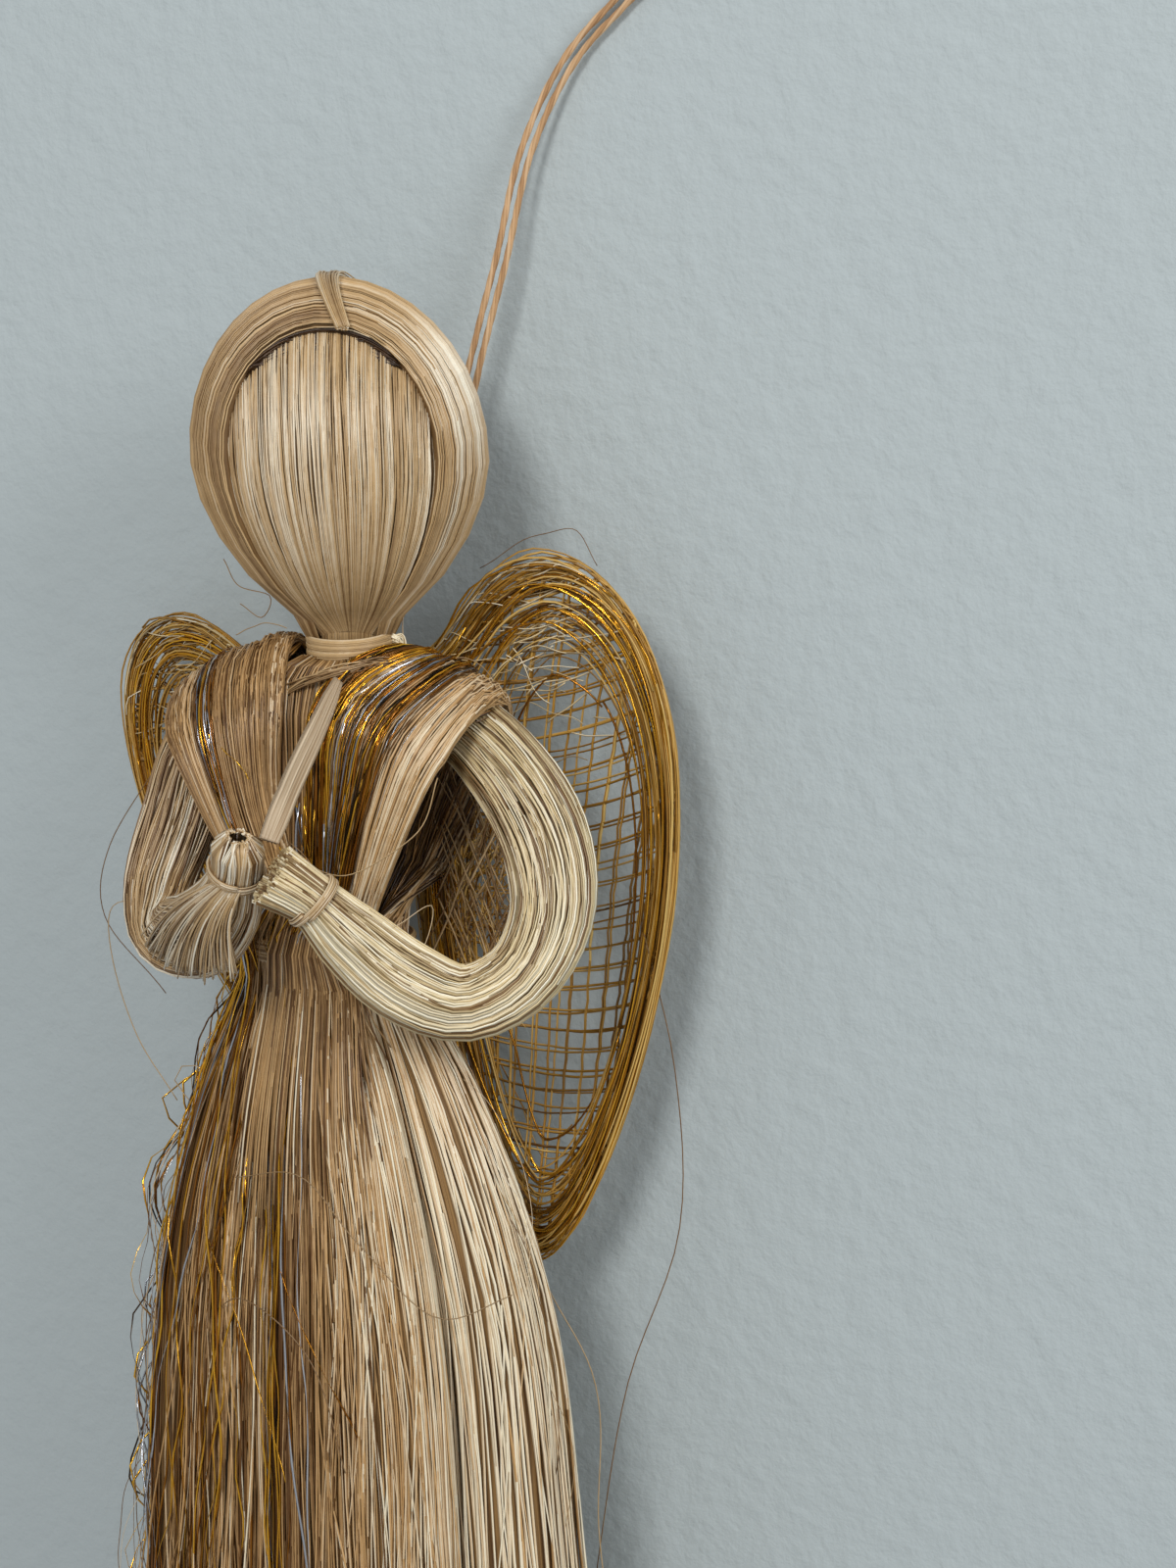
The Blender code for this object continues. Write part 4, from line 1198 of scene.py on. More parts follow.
    def cut_end(self, rng: Rng, skin: Skin, strands: Strands) -> None:
        """Fibre ends that fill the section of the right hand, some a little longer than others.

        Args:
            rng: Source of the places and tones.
            skin: Surface of the whole bundle.
            strands: Mesh that they go to.
        """
        count, steps = self.cut_count, 4
        depth = -2.3 * (1 - np.sqrt(rng.uniform(0.0, 1.0, count)))
        turn = rng.uniform(0.0, 1.0, count)
        start, stop = skin.place(np.full(count, 0.97), turn, depth), skin.place(np.ones(count), turn, depth)
        longer = unit(stop - start) * rng.uniform(0.0, 0.8, (count, 1))
        t = np.linspace(0.0, 1.0, steps)[None, :, None]
        paths = start[:, None] * (1 - t) + (stop + longer)[:, None] * t
        strands.add(paths, rng.uniform(0.1, 0.17, count), rng.normal(0.2, 0.25, count), ACROSS)


@dataclass
class Binding:
    """Turns of a flat straw strand round an ellipse, close beside each other."""

    middle: Array
    across: Array
    out: Array
    half_width: float
    half_depth: float
    turns: int
    strand: float = 0.75
    clear: float = 0.08
    fibres: int = 7
    sag: float = 0.0

    def build(self, name: str, finish: Finish, slot: str, seed: int) -> None:
        """Helix of a flat strand, made of fibres that lie side by side over a solid middle.

        Args:
            name: Node that it stands for.
            finish: Finish of the strand.
            slot: Slot of the record; not used.
            seed: Seed of the small unevenness.
        """
        rng = np.random.default_rng(abs(seed))
        steps = 32 * self.turns
        t = np.linspace(0.0, 1.0, steps)
        angle = 2 * np.pi * self.turns * t + 1.2
        along = np.cross(self.across, self.out)
        radial = np.cos(angle)[:, None] * self.across + np.sin(angle)[:, None] * self.out
        height = (t - 0.5) * (self.turns - 0.4) * self.strand + 0.08 * np.sin(angle * 1.3)
        height = height - self.sag * (radial @ FACING)
        reach = self.clear + self.strand / 2
        spine = (np.asarray(self.middle) + height[:, None] * along
                 + ((self.half_width + reach) * np.cos(angle))[:, None] * self.across
                 + ((self.half_depth + reach) * np.sin(angle))[:, None] * self.out)
        beside = np.linspace(-0.5, 0.5, self.fibres)[:, None] * self.strand
        beside = beside + drift(rng, self.fibres, steps, 0.05, 9)
        rise = 0.42 * self.strand * np.sqrt(np.clip(1 - (1.7 * beside / self.strand) ** 2, 0.05, 1.0))
        rise = rise + drift(rng, self.fibres, steps, 0.02, 9)
        paths = spine[None] + beside[..., None] * along + rise[..., None] * radial[None]
        strands = Strands(sides=4)
        strands.add(paths, self.strand * 0.14, rng.normal(0.42, 0.2, self.fibres), along)
        strands.add(spine[None], self.strand * 0.46, np.full(1, 0.1), along)
        strands.piece(f"{name}_strand", finish, slot, (name,))


# Strip

@dataclass
class Strip:
    """Flat straw folded lengthwise, from the joined hands up to the chest."""

    rows: tuple = ((3.4, -9.0, -3.0, 1.2), (3.1, -12.8, -7.2, 1.3), (2.8, -17.6, -12.2, 1.3),
                   (2.6, -21.8, -17.1, 0.9))
    facing: Place = (0.75, -0.62, -0.2)
    twist: Place = (-1.6, -0.6, 1.2)
    levels: int = 60

    def build(self) -> None:
        """Profile with folds carried along the strip, which twists a little near its lower end."""
        rows = smooth(np.array(self.rows), self.levels)
        t = np.linspace(0.0, 1.0, self.levels)
        facing = np.tile(self.facing, (self.levels, 1)) + bound(t - 0.72)[:, None] * np.array(self.twist)
        across = np.cross(facing, unit(np.gradient(rows[:, :3], axis=0)))
        top = np.linspace(-1.0, 1.0, 15)
        fold = 0.12 + 0.46 * np.abs(np.mod(top * 2.6 + 0.3, 1.0) * 2 - 1) * (1 - top**4)
        fold[[0, -1]] = 0.0
        under = np.linspace(0.8, -0.8, 7)
        profile = np.concatenate([np.stack([top, fold], axis=1), np.stack([under, 0 * under - 0.12], axis=1)])
        narrow = np.interp(t, [0.0, 0.12, 0.4, 0.8, 1.0], [0.5, 0.8, 1.0, 1.05, 1.1])
        rings = rings_along(rows[:, :3], across, rows[:, 3] * narrow, np.ones(self.levels), profile)
        skin = Skin(rings)
        sides = len(profile)
        uv = np.stack(np.broadcast_arrays(np.arange(sides)[None, :] * 0.35, skin.run[:, None]), axis=2)
        ring = np.arange(sides)
        faces = grid_faces(self.levels, sides)
        caps = np.stack([ring, (self.levels - 1) * sides + ring[::-1]])
        make_piece("hand_strip_fold", rings.reshape(-1, 3), [faces[:, ::-1], caps[:, ::-1]], Finish.STRIP,
                   ("hand_strip",), uv=uv.reshape(-1, 2))


# Wings

@dataclass
class Wing:
    """Cupped wing of open-weave cloth: threads both ways, and a rolled rim of threads round them."""

    side: int
    middle: Place
    length: float
    width: float
    lean: float
    sweep: float
    seed: int
    taper: float = 0.30
    cup: float = 4.5
    root: Place = (0.9, 8.4, -4.6)
    pull: float = 4.2
    pitch: float = 2.1
    egg_share: float = 0.785

    @property
    def name(self) -> str:
        """Node that the wing stands for."""
        return "right_wing" if self.side > 0 else "left_wing"

    def open(self, x: Array, z: Array) -> Array:
        """Place on the cloth before its root is gathered, for a place on a unit disc.

        The disc is stretched into an egg that is broad at the top, cupped towards the front, then leant and
        swung to its place.

        Args:
            x: Place across the disc.
            z: Place up it.

        Returns:
            Points in millimetres.
        """
        wide = self.width * (1 + self.taper * z) * x
        high = self.length * z
        deep = self.cup * (1 - x**2 - z**2) - self.cup / 2
        turn, swing = np.radians(self.lean), np.radians(self.sweep)
        wide, high = wide * np.cos(turn) - high * np.sin(turn), wide * np.sin(turn) + high * np.cos(turn)
        wide, deep = wide * np.cos(swing) - deep * np.sin(swing), wide * np.sin(swing) + deep * np.cos(swing)
        return np.stack([wide + self.middle[0], deep + self.middle[1], high + self.middle[2]], axis=-1)

    def place(self, x: Array, z: Array) -> Array:
        """Place on the cloth, with the inner edge by the root pulled in to the wing tie.

        Args:
            x: Place across the disc.
            z: Place up it.

        Returns:
            Points in millimetres.
        """
        root = np.array(self.root) * np.array([self.side, 1.0, 1.0])
        around = np.linspace(0.0, 2 * np.pi, 720)
        edge = self.open(np.cos(around), np.sin(around))
        near = edge[np.argmin(np.linalg.norm(edge - root, axis=1))]
        point = self.open(x, z)
        away = np.linalg.norm(point - near, axis=-1, keepdims=True)
        return point + (root - near) * bell(away, 0.0, self.pull)

    def off(self, x: Array, z: Array, lift: Array) -> Array:
        """Place at a height off the cloth, towards its front.

        Args:
            x: Place across the disc.
            z: Place up it.
            lift: Height in millimetres.

        Returns:
            Points in millimetres.
        """
        step = 1e-3
        point = self.place(x, z)
        normal = unit(np.cross(self.place(x + step, z) - point, self.place(x, z + step) - point))
        return point + lift[..., None] * normal

    def threads(self, rng: Rng, strands: Strands, upright: bool) -> None:
        """Threads one way: pairs of fibres that go over and under those that cross them.

        Args:
            rng: Source of the unevenness.
            strands: Mesh that they go to.
            upright: Whether they go up the wing or across it.
        """
        half, reach = (self.width, self.length) if upright else (self.length, self.width)
        number = int(2 * half / self.pitch)
        line = (np.arange(number) + 0.5) / number * 2 - 1
        line = np.repeat(line, 2) + np.tile([-0.09, 0.09], number) * self.pitch / half
        line = np.clip(line + rng.normal(0.0, 0.05 * self.pitch / half, len(line)), -0.97, 0.97)
        steps = 48 if upright else 24
        t = steps_row(steps, -1.0, 1.0)
        across = line[:, None] + drift(rng, len(line), steps, 0.07 * self.pitch / half)
        along = t * arc(across) * 0.97
        weave = 0.14 * np.cos(np.pi * (t * reach / self.pitch + np.arange(len(line))[:, None] // 2))
        if upright:
            x, z = across + 0.34 * bound(along) ** 1.6 * (1 - across**2) * self.side, along
        else:
            x = along
            z = across + 0.09 * (along**2 - 0.5) + 0.12 * self.side * along * bound(0.4 + across)
        keep = np.maximum(np.sqrt(x**2 + z**2) / 0.97, 1.0)
        paths = self.off(x / keep, z / keep, weave + rng.normal(0.0, 0.05, (len(line), 1)))
        strands.add(paths, rng.uniform(0.12, 0.19, len(line)), rng.normal(0.45, 0.2, len(line)), WING_FRONT)

    def tangle(self, rng: Rng, strands: Strands, count: int, corner: Place, slope: tuple[float, float],
               tone: float, radius: float) -> None:
        """Loose fibres on one part of the cloth: short curves that cross each other.

        Args:
            rng: Source of the places.
            strands: Mesh that they go to.
            count: Fibres.
            corner: Middle of the part on the unit disc, and its reach.
            slope: Mean direction of the fibres and its spread, in radians from level.
            tone: Mean tint.
            radius: Mean half width.
        """
        steps = 12
        x0 = corner[0] + corner[2] * rng.normal(0.0, 0.45, count)[:, None]
        z0 = corner[1] + corner[2] * rng.normal(0.0, 0.3, count)[:, None]
        angle = rng.normal(slope[0], slope[1], count)[:, None] + drift(rng, count, steps, 0.3, 3)
        step = rng.uniform(3.0, 9.0, (count, 1)) / steps
        x = x0 + self.side * np.cumsum(np.cos(angle) * step, axis=1) / self.width
        z = z0 + np.cumsum(np.sin(angle) * step, axis=1) / self.length
        keep = np.maximum(np.sqrt(x**2 + z**2) / 0.96, 1.0)
        lift = rng.uniform(0.1, 0.7, (count, 1)) + drift(rng, count, steps, 0.25, 3)
        strands.add(self.off(x / keep, z / keep, lift), rng.uniform(0.7, 1.3, count) * radius,
                    rng.normal(tone, 0.22, count), WING_FRONT)

    def rim(self, rng: Rng, strands: Strands, count: int, radius: float, rise: float = 0.0) -> None:
        """Threads that follow the edge, wavering in a roll a few millimetres wide, or rise in front of it.

        Args:
            rng: Source of the unevenness.
            strands: Mesh that they go to.
            count: Threads.
            radius: Mean half width.
            rise: Height off the cloth in millimetres.
        """
        steps = 72
        around = np.linspace(0.0, 2 * np.pi, steps)[None, :] + rng.uniform(0, 2 * np.pi, (count, 1))
        inset = np.abs(rng.normal(0.0, 0.12, count))[:, None] + np.abs(drift(rng, count, steps, 0.05, 6))
        inset = inset * (1 + 0.7 * bound(-self.side * np.cos(around)))
        reach = 1.0 - np.clip(inset, 0.0, 0.5)
        lift = 0.5 * drift(rng, count, steps, 0.6, 5) + rng.normal(0.0, 0.3, count)[:, None]
        paths = self.off(reach * np.cos(around), reach * np.sin(around), np.clip(lift, -0.7, 0.7) + rise)
        strands.add(paths, rng.uniform(0.8, 1.2, count) * radius, rng.normal(0.5, 0.22, count),
                    WING_FRONT, roll=drift(rng, count, steps, 1.5, 9))

    def build(self) -> None:
        rng = np.random.default_rng(self.seed)
        net = Strands()
        self.threads(rng, net, True)
        self.threads(rng, net, False)
        inner_edge = (-0.62 * self.side, 0.05, 0.5)
        self.tangle(rng, net, 90, inner_edge, (1.1, 0.25), 0.5, 0.11)
        self.tangle(rng, net, 70, inner_edge, (-1.1, 0.25), 0.7, 0.09)
        cloth = net.piece(f"{self.name}_net", Finish.NET, NET_SLOT, (self.name,))
        roll = Strands()
        self.rim(rng, roll, 60, 0.12)
        rim = roll.piece(f"{self.name}_rim", Finish.NET, NET_SLOT)
        pale = Strands()
        self.tangle(rng, pale, 60, (-0.3 * self.side, 0.72, 0.5), (0.15, 0.35), 0.5, 0.08)
        fluff = pale.piece(f"{self.name}_loose", Finish.PALE, NET_SLOT)
        shine = Strands(sides=4)
        self.rim(rng, shine, 12, 0.12, 0.5)
        gold = shine.piece(f"{self.name}_gold", Finish.GOLD, NET_SLOT)


# Hanging loop

@dataclass
class Loop:
    """Doubled twine from the back of the neck to where it hooks on."""

    leg: tuple = ((0.2, 5.3, 0.4), (0.6, 8.2, 2.2), (2.2, 13.4, 8.6), (4.4, 15.6, 17.0), (6.5, 15.6, 27.0),
                  (9.6, 16.4, 39.2), (11.8, 18.0, 50.2), (16.0, 19.6, 59.2), (21.6, 20.0, 64.8),
                  (26.8, 20.0, 69.2))
    span: float = 1.2
    twine: float = 0.8
    plies: int = 4
    steps: int = 240
    twist_length: float = 9.0
    seed: int = 61

    def build(self) -> None:
        """Plies laid round one smooth route with a slow twist."""
        leg = np.array(self.leg)
        beside = unit(np.cross(unit(np.gradient(leg, axis=0)), BACK)) * self.span / 2
        route = smooth(np.concatenate([leg - beside, BIGHT[None], (leg + beside)[::-1]]), self.steps)
        length = np.linalg.norm(np.diff(route, axis=0), axis=1).sum()
        side = unit(np.cross(unit(np.gradient(route, axis=0)), BACK))
        rise = np.cross(side, unit(np.gradient(route, axis=0)))
        start = np.arange(self.plies)[:, None] / self.plies
        phase = 2 * np.pi * (start + steps_row(self.steps, 0, length / self.twist_length))
        offset = np.cos(phase)[..., None] * side + np.sin(phase)[..., None] * rise
        rng = np.random.default_rng(self.seed)
        reach = self.twine * (0.22 + drift(rng, self.plies, self.steps, 0.02, 40))
        strands = Strands(sides=6)
        strands.add(route[None] + reach[..., None] * offset, self.twine * 0.25,
                    np.linspace(0.3, 0.75, self.plies), BACK)
        piece = strands.piece("hanging_loop_twine", Finish.TWINE, TWINE_SLOT, ("hanging_loop",))


# Stray fibres

@dataclass
class Strays:
    """Single fibres and tinsel threads that have come loose round the angel."""

    straw: tuple = (((-20.5, -3.0, -12.0), (-26.5, -4.0, -22.0), (-27.5, -3.0, -30.0), (-21.0, -3.0, -38.0)),
                    ((-15.0, -8.0, -27.0), (-20.0, -9.0, -26.5), (-25.5, -6.0, -29.0), (-24.0, -4.0, -42.0),
                     (-19.0, -4.0, -49.0)),
                    ((-13.0, -5.0, -52.0), (-17.5, -5.0, -48.5), (-19.5, -5.0, -46.0), (-17.0, -5.5, -44.0),
                     (-14.5, -5.5, -47.0), (-16.0, -5.0, -58.0), (-21.0, -4.0, -70.0), (-22.0, -4.0, -78.0),
                     (-18.0, -5.0, -74.0), (-16.5, -5.0, -66.0)),
                    ((-16.0, -6.0, -56.0), (-22.5, -4.0, -66.0), (-24.5, -3.0, -80.0), (-24.0, -3.0, -100.0),
                     (-22.5, -3.0, -124.0)),
                    ((-8.0, -12.5, -54.0), (0.0, -13.5, -52.5), (7.0, -13.0, -59.0), (15.0, -11.0, -66.0),
                     (22.0, -8.0, -63.0)),
                    ((-14.0, -9.0, -72.0), (-6.0, -14.0, -66.0), (2.0, -15.5, -70.0), (6.0, -15.0, -82.0)),
                    ((28.5, 9.0, -30.0), (31.0, 11.0, -44.0), (31.5, 12.0, -62.0), (27.0, 10.0, -78.0),
                     (24.5, 8.0, -96.0), (23.0, 6.0, -112.0)),
                    ((21.0, 2.0, -66.0), (25.0, 4.0, -76.0), (26.0, 4.0, -92.0), (27.5, 3.0, -108.0)),
                    ((-11.0, -3.0, 3.5), (-8.0, -4.0, 2.4), (-7.0, -4.0, 4.6), (-10.5, -4.0, 5.6),
                     (-13.0, -3.0, 8.5)),
                    ((-12.5, -2.0, 0.5), (-9.0, -3.0, 1.8), (-5.5, -4.0, 1.0)),
                    ((5.0, 2.0, 4.5), (5.0, 1.0, 1.0), (8.0, 0.0, -3.0), (10.5, -1.5, -5.6)),
                    ((7.5, 3.0, -3.0), (11.0, 4.5, -1.8), (14.0, 4.0, -3.6), (13.5, 3.0, -6.0)),
                    ((9.0, 11.0, 6.8), (16.0, 12.0, 10.6), (20.0, 12.0, 11.4), (22.5, 12.0, 8.0)),
                    ((4.5, -20.5, -19.0), (7.5, -15.0, -21.5), (12.0, -9.0, -18.0), (13.0, -7.5, -12.0)),
                    ((3.0, -18.5, -17.5), (5.0, -18.0, -20.0), (6.0, -18.5, -22.5)),
                    ((13.0, -16.5, -25.5), (15.5, -13.0, -24.0), (14.5, -13.5, -28.5), (12.0, -16.8, -32.0)))
    gold: tuple = (((-9.4, -10.6, -10.2), (-7.2, -11.2, -11.6), (-4.6, -11.6, -13.2)),
                   ((-2.0, -13.6, -62.0), (2.0, -14.6, -69.0), (7.5, -14.0, -79.0)),
                   ((-12.0, -10.0, -60.0), (-6.0, -13.5, -70.0), (-1.0, -15.5, -84.0)))
    crossing: tuple = (((-5.4, -5.6, -5.4), (-2.0, -6.9, -3.6), (2.0, -6.8, -2.4), (6.0, -5.0, -1.6),
                        (8.5, -2.5, -2.2)),)
    cut_ends: tuple = (((3.6, 0.6, 0.9), (5.0, 0.6, 0.2), (6.2, 0.4, -1.4)),)
    wisp_count: int = 46
    elbow_count: int = 84
    chest_count: int = 230
    seed: int = 81

    def spread(self, rng: Rng, rows: tuple, copies: int, stray: float) -> Array:
        """Read each route smoothly, and give some copies of it that wander from it.

        Args:
            rng: Source of the wandering.
            rows: Routes.
            copies: Copies of each.
            stray: Typical wander in millimetres.

        Returns:
            Paths of all the copies.
        """
        steps = 30
        routes = np.stack([smooth(np.array(row, float), steps) for row in rows])
        routes = np.repeat(routes, copies, axis=0)
        wander = np.stack([drift(rng, len(routes), steps, stray, 4) for _ in range(3)], axis=2)
        return routes + wander * np.array([1.0, 0.6, 1.0])

    def wisps(self, rng: Rng, strands: Strands, facing: Array) -> None:
        """Fine fibres that hang beside the skirt.

        Args:
            rng: Source of the places and tones.
            strands: Mesh that they go to.
            facing: Direction that the rings are measured from.
        """
        count, steps = self.wisp_count, 30
        t = steps_row(steps)
        side = np.where(rng.random(count) < 0.6, -1.0, 1.0)[:, None]
        start = rng.uniform(-95.0, -42.0, (count, 1))
        z = start - rng.uniform(18.0, 44.0, (count, 1)) * t
        edge = np.interp(-z, [40.0, 60.0, 90.0, 145.0], [14.5, 19.5, 23.5, 26.0])
        bulge = rng.uniform(0.4, 5.5, (count, 1)) * np.sin(np.pi * t) ** 0.8
        x = side * (edge - 3.0 + bulge) + drift(rng, count, steps, 0.5, 9)
        y = -4.0 + 2.0 * side + drift(rng, count, steps, 0.8, 6)
        z = np.maximum(z, HEM_HEIGHT) + drift(rng, count, steps, 0.3, 5) * (z > HEM_HEIGHT + 1.6)
        paths = np.stack([x, y, z], axis=2)
        strands.add(paths, rng.uniform(0.04, 0.07, count), rng.uniform(-0.1, 0.9, count), facing)

    def elbow(self, rng: Rng, strands: Strands, facing: Array) -> None:
        """Strands that cross each other behind the right elbow.

        Args:
            rng: Source of the places and tones.
            strands: Mesh that they go to.
            facing: Direction that the rings are measured from.
        """
        count, steps = self.elbow_count, 8
        t = steps_row(steps)
        slant = np.where(rng.random(count) < 0.5, -1.0, 1.0)[:, None] * rng.uniform(0.25, 0.6, (count, 1))
        z = rng.uniform(-31.0, -13.0, (count, 1)) - rng.uniform(6.0, 12.0, (count, 1)) * (t - 0.5)
        x = rng.uniform(8.0, 16.5, (count, 1)) + slant * (z - z.mean(axis=1, keepdims=True))
        y = 5.2 + rng.uniform(-0.7, 1.2, (count, 1)) + drift(rng, count, steps, 0.2, 3)
        paths = np.stack([x, y, z], axis=2)
        strands.add(paths, rng.uniform(0.07, 0.13, count), rng.uniform(-0.1, 0.55, count), facing)

    def fill_chest(self, rng: Rng, facing: Array) -> None:
        """Straw between the two shoulders, from under the neck binding down and over the waist.

        Args:
            rng: Source of the places and tones.
            facing: Direction that the rings are measured from.
        """
        count, steps = self.chest_count, 26
        t = steps_row(steps)
        top = rng.uniform(0.0, 1.0, (count, 1))
        knots = [0.0, 0.06, 0.16, 0.56, 0.64, 0.72, 1.0]
        x = np.interp(t, knots, [-3.8, -6.4, -5.6, -4.2, -4.9, -5.8, -8.6])
        x = x + top * np.interp(t, knots, [7.6, 11.6, 10.0, 7.2, 8.2, 9.8, 16.0])
        z = np.interp(t, knots, [-1.3, -2.8, -7.0, -27.4, -31.0, -34.6, -44.0])
        z = z - bound(t - 0.72) / 0.28 * rng.uniform(-4.0, 16.0, (count, 1))
        y = np.interp(t, knots, [-3.6, -5.2, -6.9, -8.0, -9.2, -9.3, -9.3])
        y = y + rng.uniform(-0.3, 0.4, (count, 1))
        middle_x, middle_y, wide, deep = Skirt().at(z)[:4]
        lift = np.interp(t, [0.64, 0.9, 1.0], [0.9, 0.25, -0.7])
        skirt = middle_y - lift - deep * np.sqrt(np.clip(1 - ((x - middle_x) / wide) ** 2, 0.05, 1.0))
        share = bound((t - 0.64) / 0.1)
        y = y * (1 - share) + skirt * share
        x = x + drift(rng, count, steps, 0.12, 5)
        paths = np.stack([x, y, z + drift(rng, count, steps, 0.05, 3)], axis=2)
        laid = Strands().add(paths, rng.uniform(0.08, 0.14, count), rng.normal(0.30, 0.25, count), facing)
        laid.piece("chest_fibres", Finish.SKIRT, GOLDEN_SLOT)

    def build(self) -> None:
        """Make the stray fibres, the strands that cross under the neck, and the stray tinsel."""
        rng = np.random.default_rng(self.seed)
        strands = Strands()
        facing = np.array([0.4, -0.9, 0.15])
        paths = self.spread(rng, self.straw, 1, 0.3)
        strands.add(paths, rng.uniform(0.055, 0.085, len(paths)), rng.uniform(-0.2, 0.6, len(paths)), facing)
        self.wisps(rng, strands, facing)
        self.elbow(rng, strands, facing)
        paths = self.spread(rng, self.crossing, 18, 0.3) + 0.3 * BACK
        strands.add(paths, rng.uniform(0.08, 0.13, len(paths)), rng.uniform(0.0, 0.5, len(paths)), facing)
        strands.piece("stray_fibres", Finish.STRAW, GOLDEN_SLOT)
        self.fill_chest(rng, facing)
        paths = self.spread(rng, self.cut_ends, 34, 0.28)
        thick, tint = rng.uniform(0.08, 0.13, len(paths)), rng.uniform(0.7, 1.0, len(paths))
        tuft = Strands().add(paths, thick, tint, facing)
        tuft.piece("neck_tuft", Finish.PALE, PALE_SLOT)
        shine = Strands(sides=4)
        paths = self.spread(rng, self.gold, 1, 0.3)
        shine.add(paths, rng.uniform(0.06, 0.1, len(paths)), rng.random(len(paths)), facing, flat=0.3,
                  roll=drift(rng, len(paths), paths.shape[1], 1.5, 5))
        shine.piece("stray_tinsel", Finish.GOLD, GOLDEN_SLOT)


# Camera, light and wall

@dataclass
class Studio:
    """Camera at the photograph's angle, a pale wall behind the angel, and soft light from the upper left."""

    camera_place: Place = (0.0917, -0.2488, -0.0498)
    camera_turn: tuple[float, float] = (82.0, 22.66)
    lens: float = 58.3
    wall: float = 1.0
    wall_depth: float = 21.0
    wall_colour: Colour = (184, 194, 196)
    chest_place: Place = (-0.03, -0.02, -0.09)
    room_colour: tuple = (0.86, 0.88, 0.9, 1.0)
    room_strength: float = 0.46
    lamps: tuple = (("key", (0.03, -0.70, 0.28), 0.19, 2.4, (1.0, 0.985, 0.96)),
                    ("fill", (0.62, -0.36, 0.20), 0.3, 2.0, (0.98, 0.99, 1.0)))

    def camera(self) -> None:
        """Camera whose long side is the height of the frame."""
        data = bpy.data.cameras.new("camera")
        data.sensor_fit, data.lens = "VERTICAL", self.lens
        data.sensor_height, data.sensor_width = 36.0, 36.0
        camera = show("camera", data)
        camera.location = self.camera_place
        camera.rotation_euler = (np.radians(self.camera_turn[0]), 0.0, np.radians(self.camera_turn[1]))
        bpy.context.scene.camera = camera

    def lamp(self, name: str, place: Place, size: float, power: float, colour: Colour) -> None:
        """Square lamp that faces the angel's chest.

        Args:
            name: Name of the lamp.
            place: Its place in metres.
            size: Side in metres.
            power: Power in watts.
            colour: Colour of its light.
        """
        data = bpy.data.lights.new(name, "AREA")
        data.size, data.energy, data.color = size, power, colour
        lamp = show(name, data)
        lamp.location = place
        aim = np.array(self.chest_place) - np.array(place)
        lamp.rotation_euler = Vector(aim).to_track_quat("-Z", "Y").to_euler()

    def backdrop(self) -> None:
        """Rough plaster wall just behind the wings, seen through from its back."""
        graph = Graph("wall_paint")
        rough = graph.node("ShaderNodeTexNoise",
                           inputs={"Vector": graph.place(), "Scale": 330.0, "Detail": 4.0, "Roughness": 0.6})
        graph.surface({"Base Color": (*linear(self.wall_colour), 1.0), "Roughness": 0.9,
                       "Normal": graph.bump(rough, 0.5, 0.0008)})
        back = graph.node("ShaderNodeNewGeometry", output="Backfacing")
        shader = Socket(graph, graph.tree.nodes["Principled BSDF"].outputs[0])
        clear = graph.node("ShaderNodeBsdfTransparent")
        mixed = graph.node("ShaderNodeMixShader", inputs={0: back, 1: shader, 2: clear})
        graph.tree.links.new(mixed.source, graph.tree.nodes["Material Output"].inputs["Surface"])
        mesh = bpy.data.meshes.new("wall")
        y = (self.wall_depth - BIGHT[1]) * MM
        mesh.from_pydata([(-self.wall, y, -self.wall), (self.wall, y, -self.wall), (self.wall, y, self.wall),
                          (-self.wall, y, self.wall)], [], [(0, 1, 2, 3)])
        mesh.materials.append(graph.material)
        wall = show("wall", mesh)

    def build(self) -> None:
        """Make the camera, the wall, the lamps and the soft light all round."""
        self.camera()
        self.backdrop()
        for lamp in self.lamps:
            self.lamp(*lamp)
        world = bpy.data.worlds.new("room")
        world.use_nodes = True
        light = world.node_tree.nodes["Background"].inputs
        light["Color"].default_value = self.room_colour
        light["Strength"].default_value = self.room_strength
        bpy.context.scene.world = world
        bpy.context.scene.view_settings.view_transform = "Standard"


# Rows of the shoulder bundles, and their runs of tinsel

RIGHT_SHOULDER = ((3.0, -7.2, -24.0, 1, 0, 0.0, 3.6, 1.8), (5.2, -8.2, -15.0, 1, 0, -0.15, 5.8, 1.6),
                  (7.1, -7.0, -7.3, 1, 0, -0.36, 7.6, 1.4), (11.6, -0.4, -3.0, 1, 0, -0.36, 5.6, 1.4),
                  (9.2, 6.3, -7.6, 1, 0, -0.30, 5.8, 1.2), (6.4, 6.4, -16.0, 1, 0, -0.10, 4.6, 1.3),
                  (3.6, 5.9, -24.0, 1, 0, 0.0, 3.2, 1.4))
LEFT_SHOULDER = ((-5.6, -7.2, -24.0, 1, 0, 0.0, 3.1, 1.7), (-8.8, -8.0, -15.0, 1, 0, 0.15, 4.8, 1.5),
                 (-11.0, -6.9, -6.8, 1, 0, 0.40, 7.2, 1.4), (-12.8, -0.4, -2.5, 1, 0, 0.45, 7.4, 1.4),
                 (-10.8, 6.3, -7.8, 1, 0, 0.30, 6.4, 1.2), (-8.6, 6.4, -16.0, 1, 0, 0.10, 4.6, 1.3),
                 (-6.6, 5.9, -24.0, 1, 0, 0.0, 3.2, 1.4))
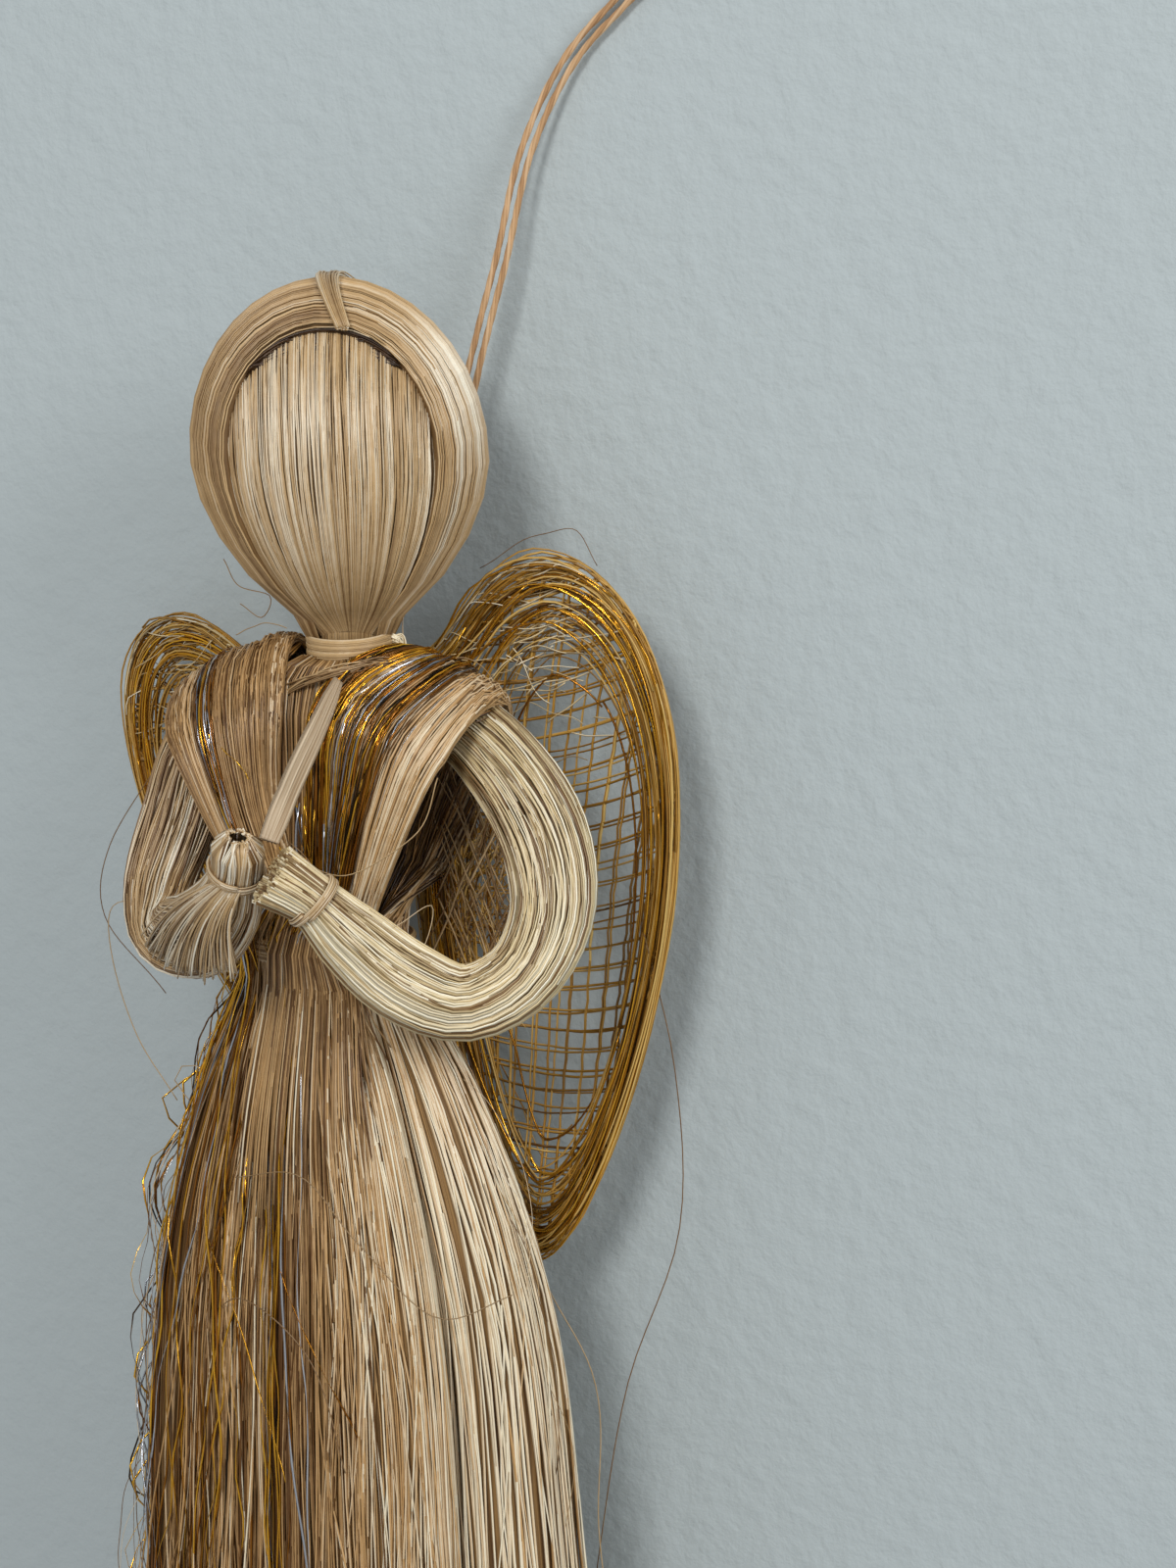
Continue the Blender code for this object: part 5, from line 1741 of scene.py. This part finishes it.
RIGHT_GLITTER = (Glitter(Finish.GOLD, 32, (0.37, 0.52), (0.22, 0.46), 0.12),
                 Glitter(Finish.SILVER, 9, (0.37, 0.53), (0.14, 0.34), 0.12),
                 Glitter(Finish.SHADE, 40, (0.36, 0.51), (0.20, 0.44), 0.1),
                 Glitter(Finish.GOLD, 17, (0.02, 0.42), (0.37, 0.55), 0.4, 0.03, 0.3),
                 Glitter(Finish.SILVER, 6, (0.02, 0.42), (0.34, 0.54), 0.4, 0.03, 0.3),
                 Glitter(Finish.SHADE, 22, (0.02, 0.42), (0.40, 0.56), 0.2, 0.02))
LEFT_GLITTER = (Glitter(Finish.SHADE, 11, (0.40, 0.51), (0.25, 0.30), 0.08),
                Glitter(Finish.GOLD, 3, (0.40, 0.51), (0.25, 0.30), 0.1),
                Glitter(Finish.SILVER, 5, (0.40, 0.51), (0.27, 0.31), 0.1),
                Glitter(Finish.GOLD, 20, (0.0, 0.41), (0.10, 0.46), 0.5, 0.03, 0.3),
                Glitter(Finish.GOLD, 24, (0.0, 0.39), (0.38, 0.56), 1.3, 0.05, 0.8),
                Glitter(Finish.SILVER, 9, (0.0, 0.41), (0.05, 0.50), 0.5, 0.03, 0.3),
                Glitter(Finish.SILVER, 11, (0.0, 0.38), (0.40, 0.56), 1.3, 0.04, 0.8),
                Glitter(Finish.SHADE, 16, (0.0, 0.41), (0.08, 0.40), 0.3, 0.03),
                Glitter(Finish.SHADE, 16, (0.0, 0.40), (0.40, 0.57), 1.3, 0.04, 0.8))


def main() -> None:
    """Build the studio and dress the angel, piece by piece."""
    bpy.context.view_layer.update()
    Studio().build()
    Loop().build()
    Head().build()
    Skirt().build()
    Arms().build()
    ShoulderHank("right", RIGHT_SHOULDER, (-14.0, 48.0), (56.0, 172.0), 21, 0.55, 0.27, RIGHT_GLITTER, 0.5,
                 shade=0.56, shade_turn=0.45, back_tone=0.38).build()
    ShoulderHank("left", LEFT_SHOULDER, (-94.0, -18.0), (176.0, 262.0), 22, 0.30, 0.06, LEFT_GLITTER,
                 1.1).build()
    Strip().build()
    tilt = np.array([0.0, np.cos(np.radians(4.0)), np.sin(np.radians(4.0))])
    neck = Binding(np.zeros(3), RIGHT, tilt, 3.7, 3.7, 3, sag=0.3)
    neck.build("neck_binding", Finish.STRAW, PALE_SLOT, 5)
    waist = Binding(np.array([-2.4, -0.8, WAIST_HEIGHT]), RIGHT, BACK, 8.4, 6.6, 3)
    waist.build("waist_binding", Finish.STRAW, GOLDEN_SLOT, 6)
    wings = Binding(np.array([0.0, 8.1, -4.6]), BACK, UP, 2.25, 2.25, 3)
    wings.build("wing_tie", Finish.STRAW, GOLDEN_SLOT, 7)
    Wing(1, (16.9, 11.2, -28.4), 38.0, 14.7, -1.5, 0.0, 51).build()
    Wing(-1, (-14.4, 12.4, -30.0), 35.5, 12.2, 28.0, -6.0, 52).build()
    Strays().build()


if __name__ == "__main__":
    main()
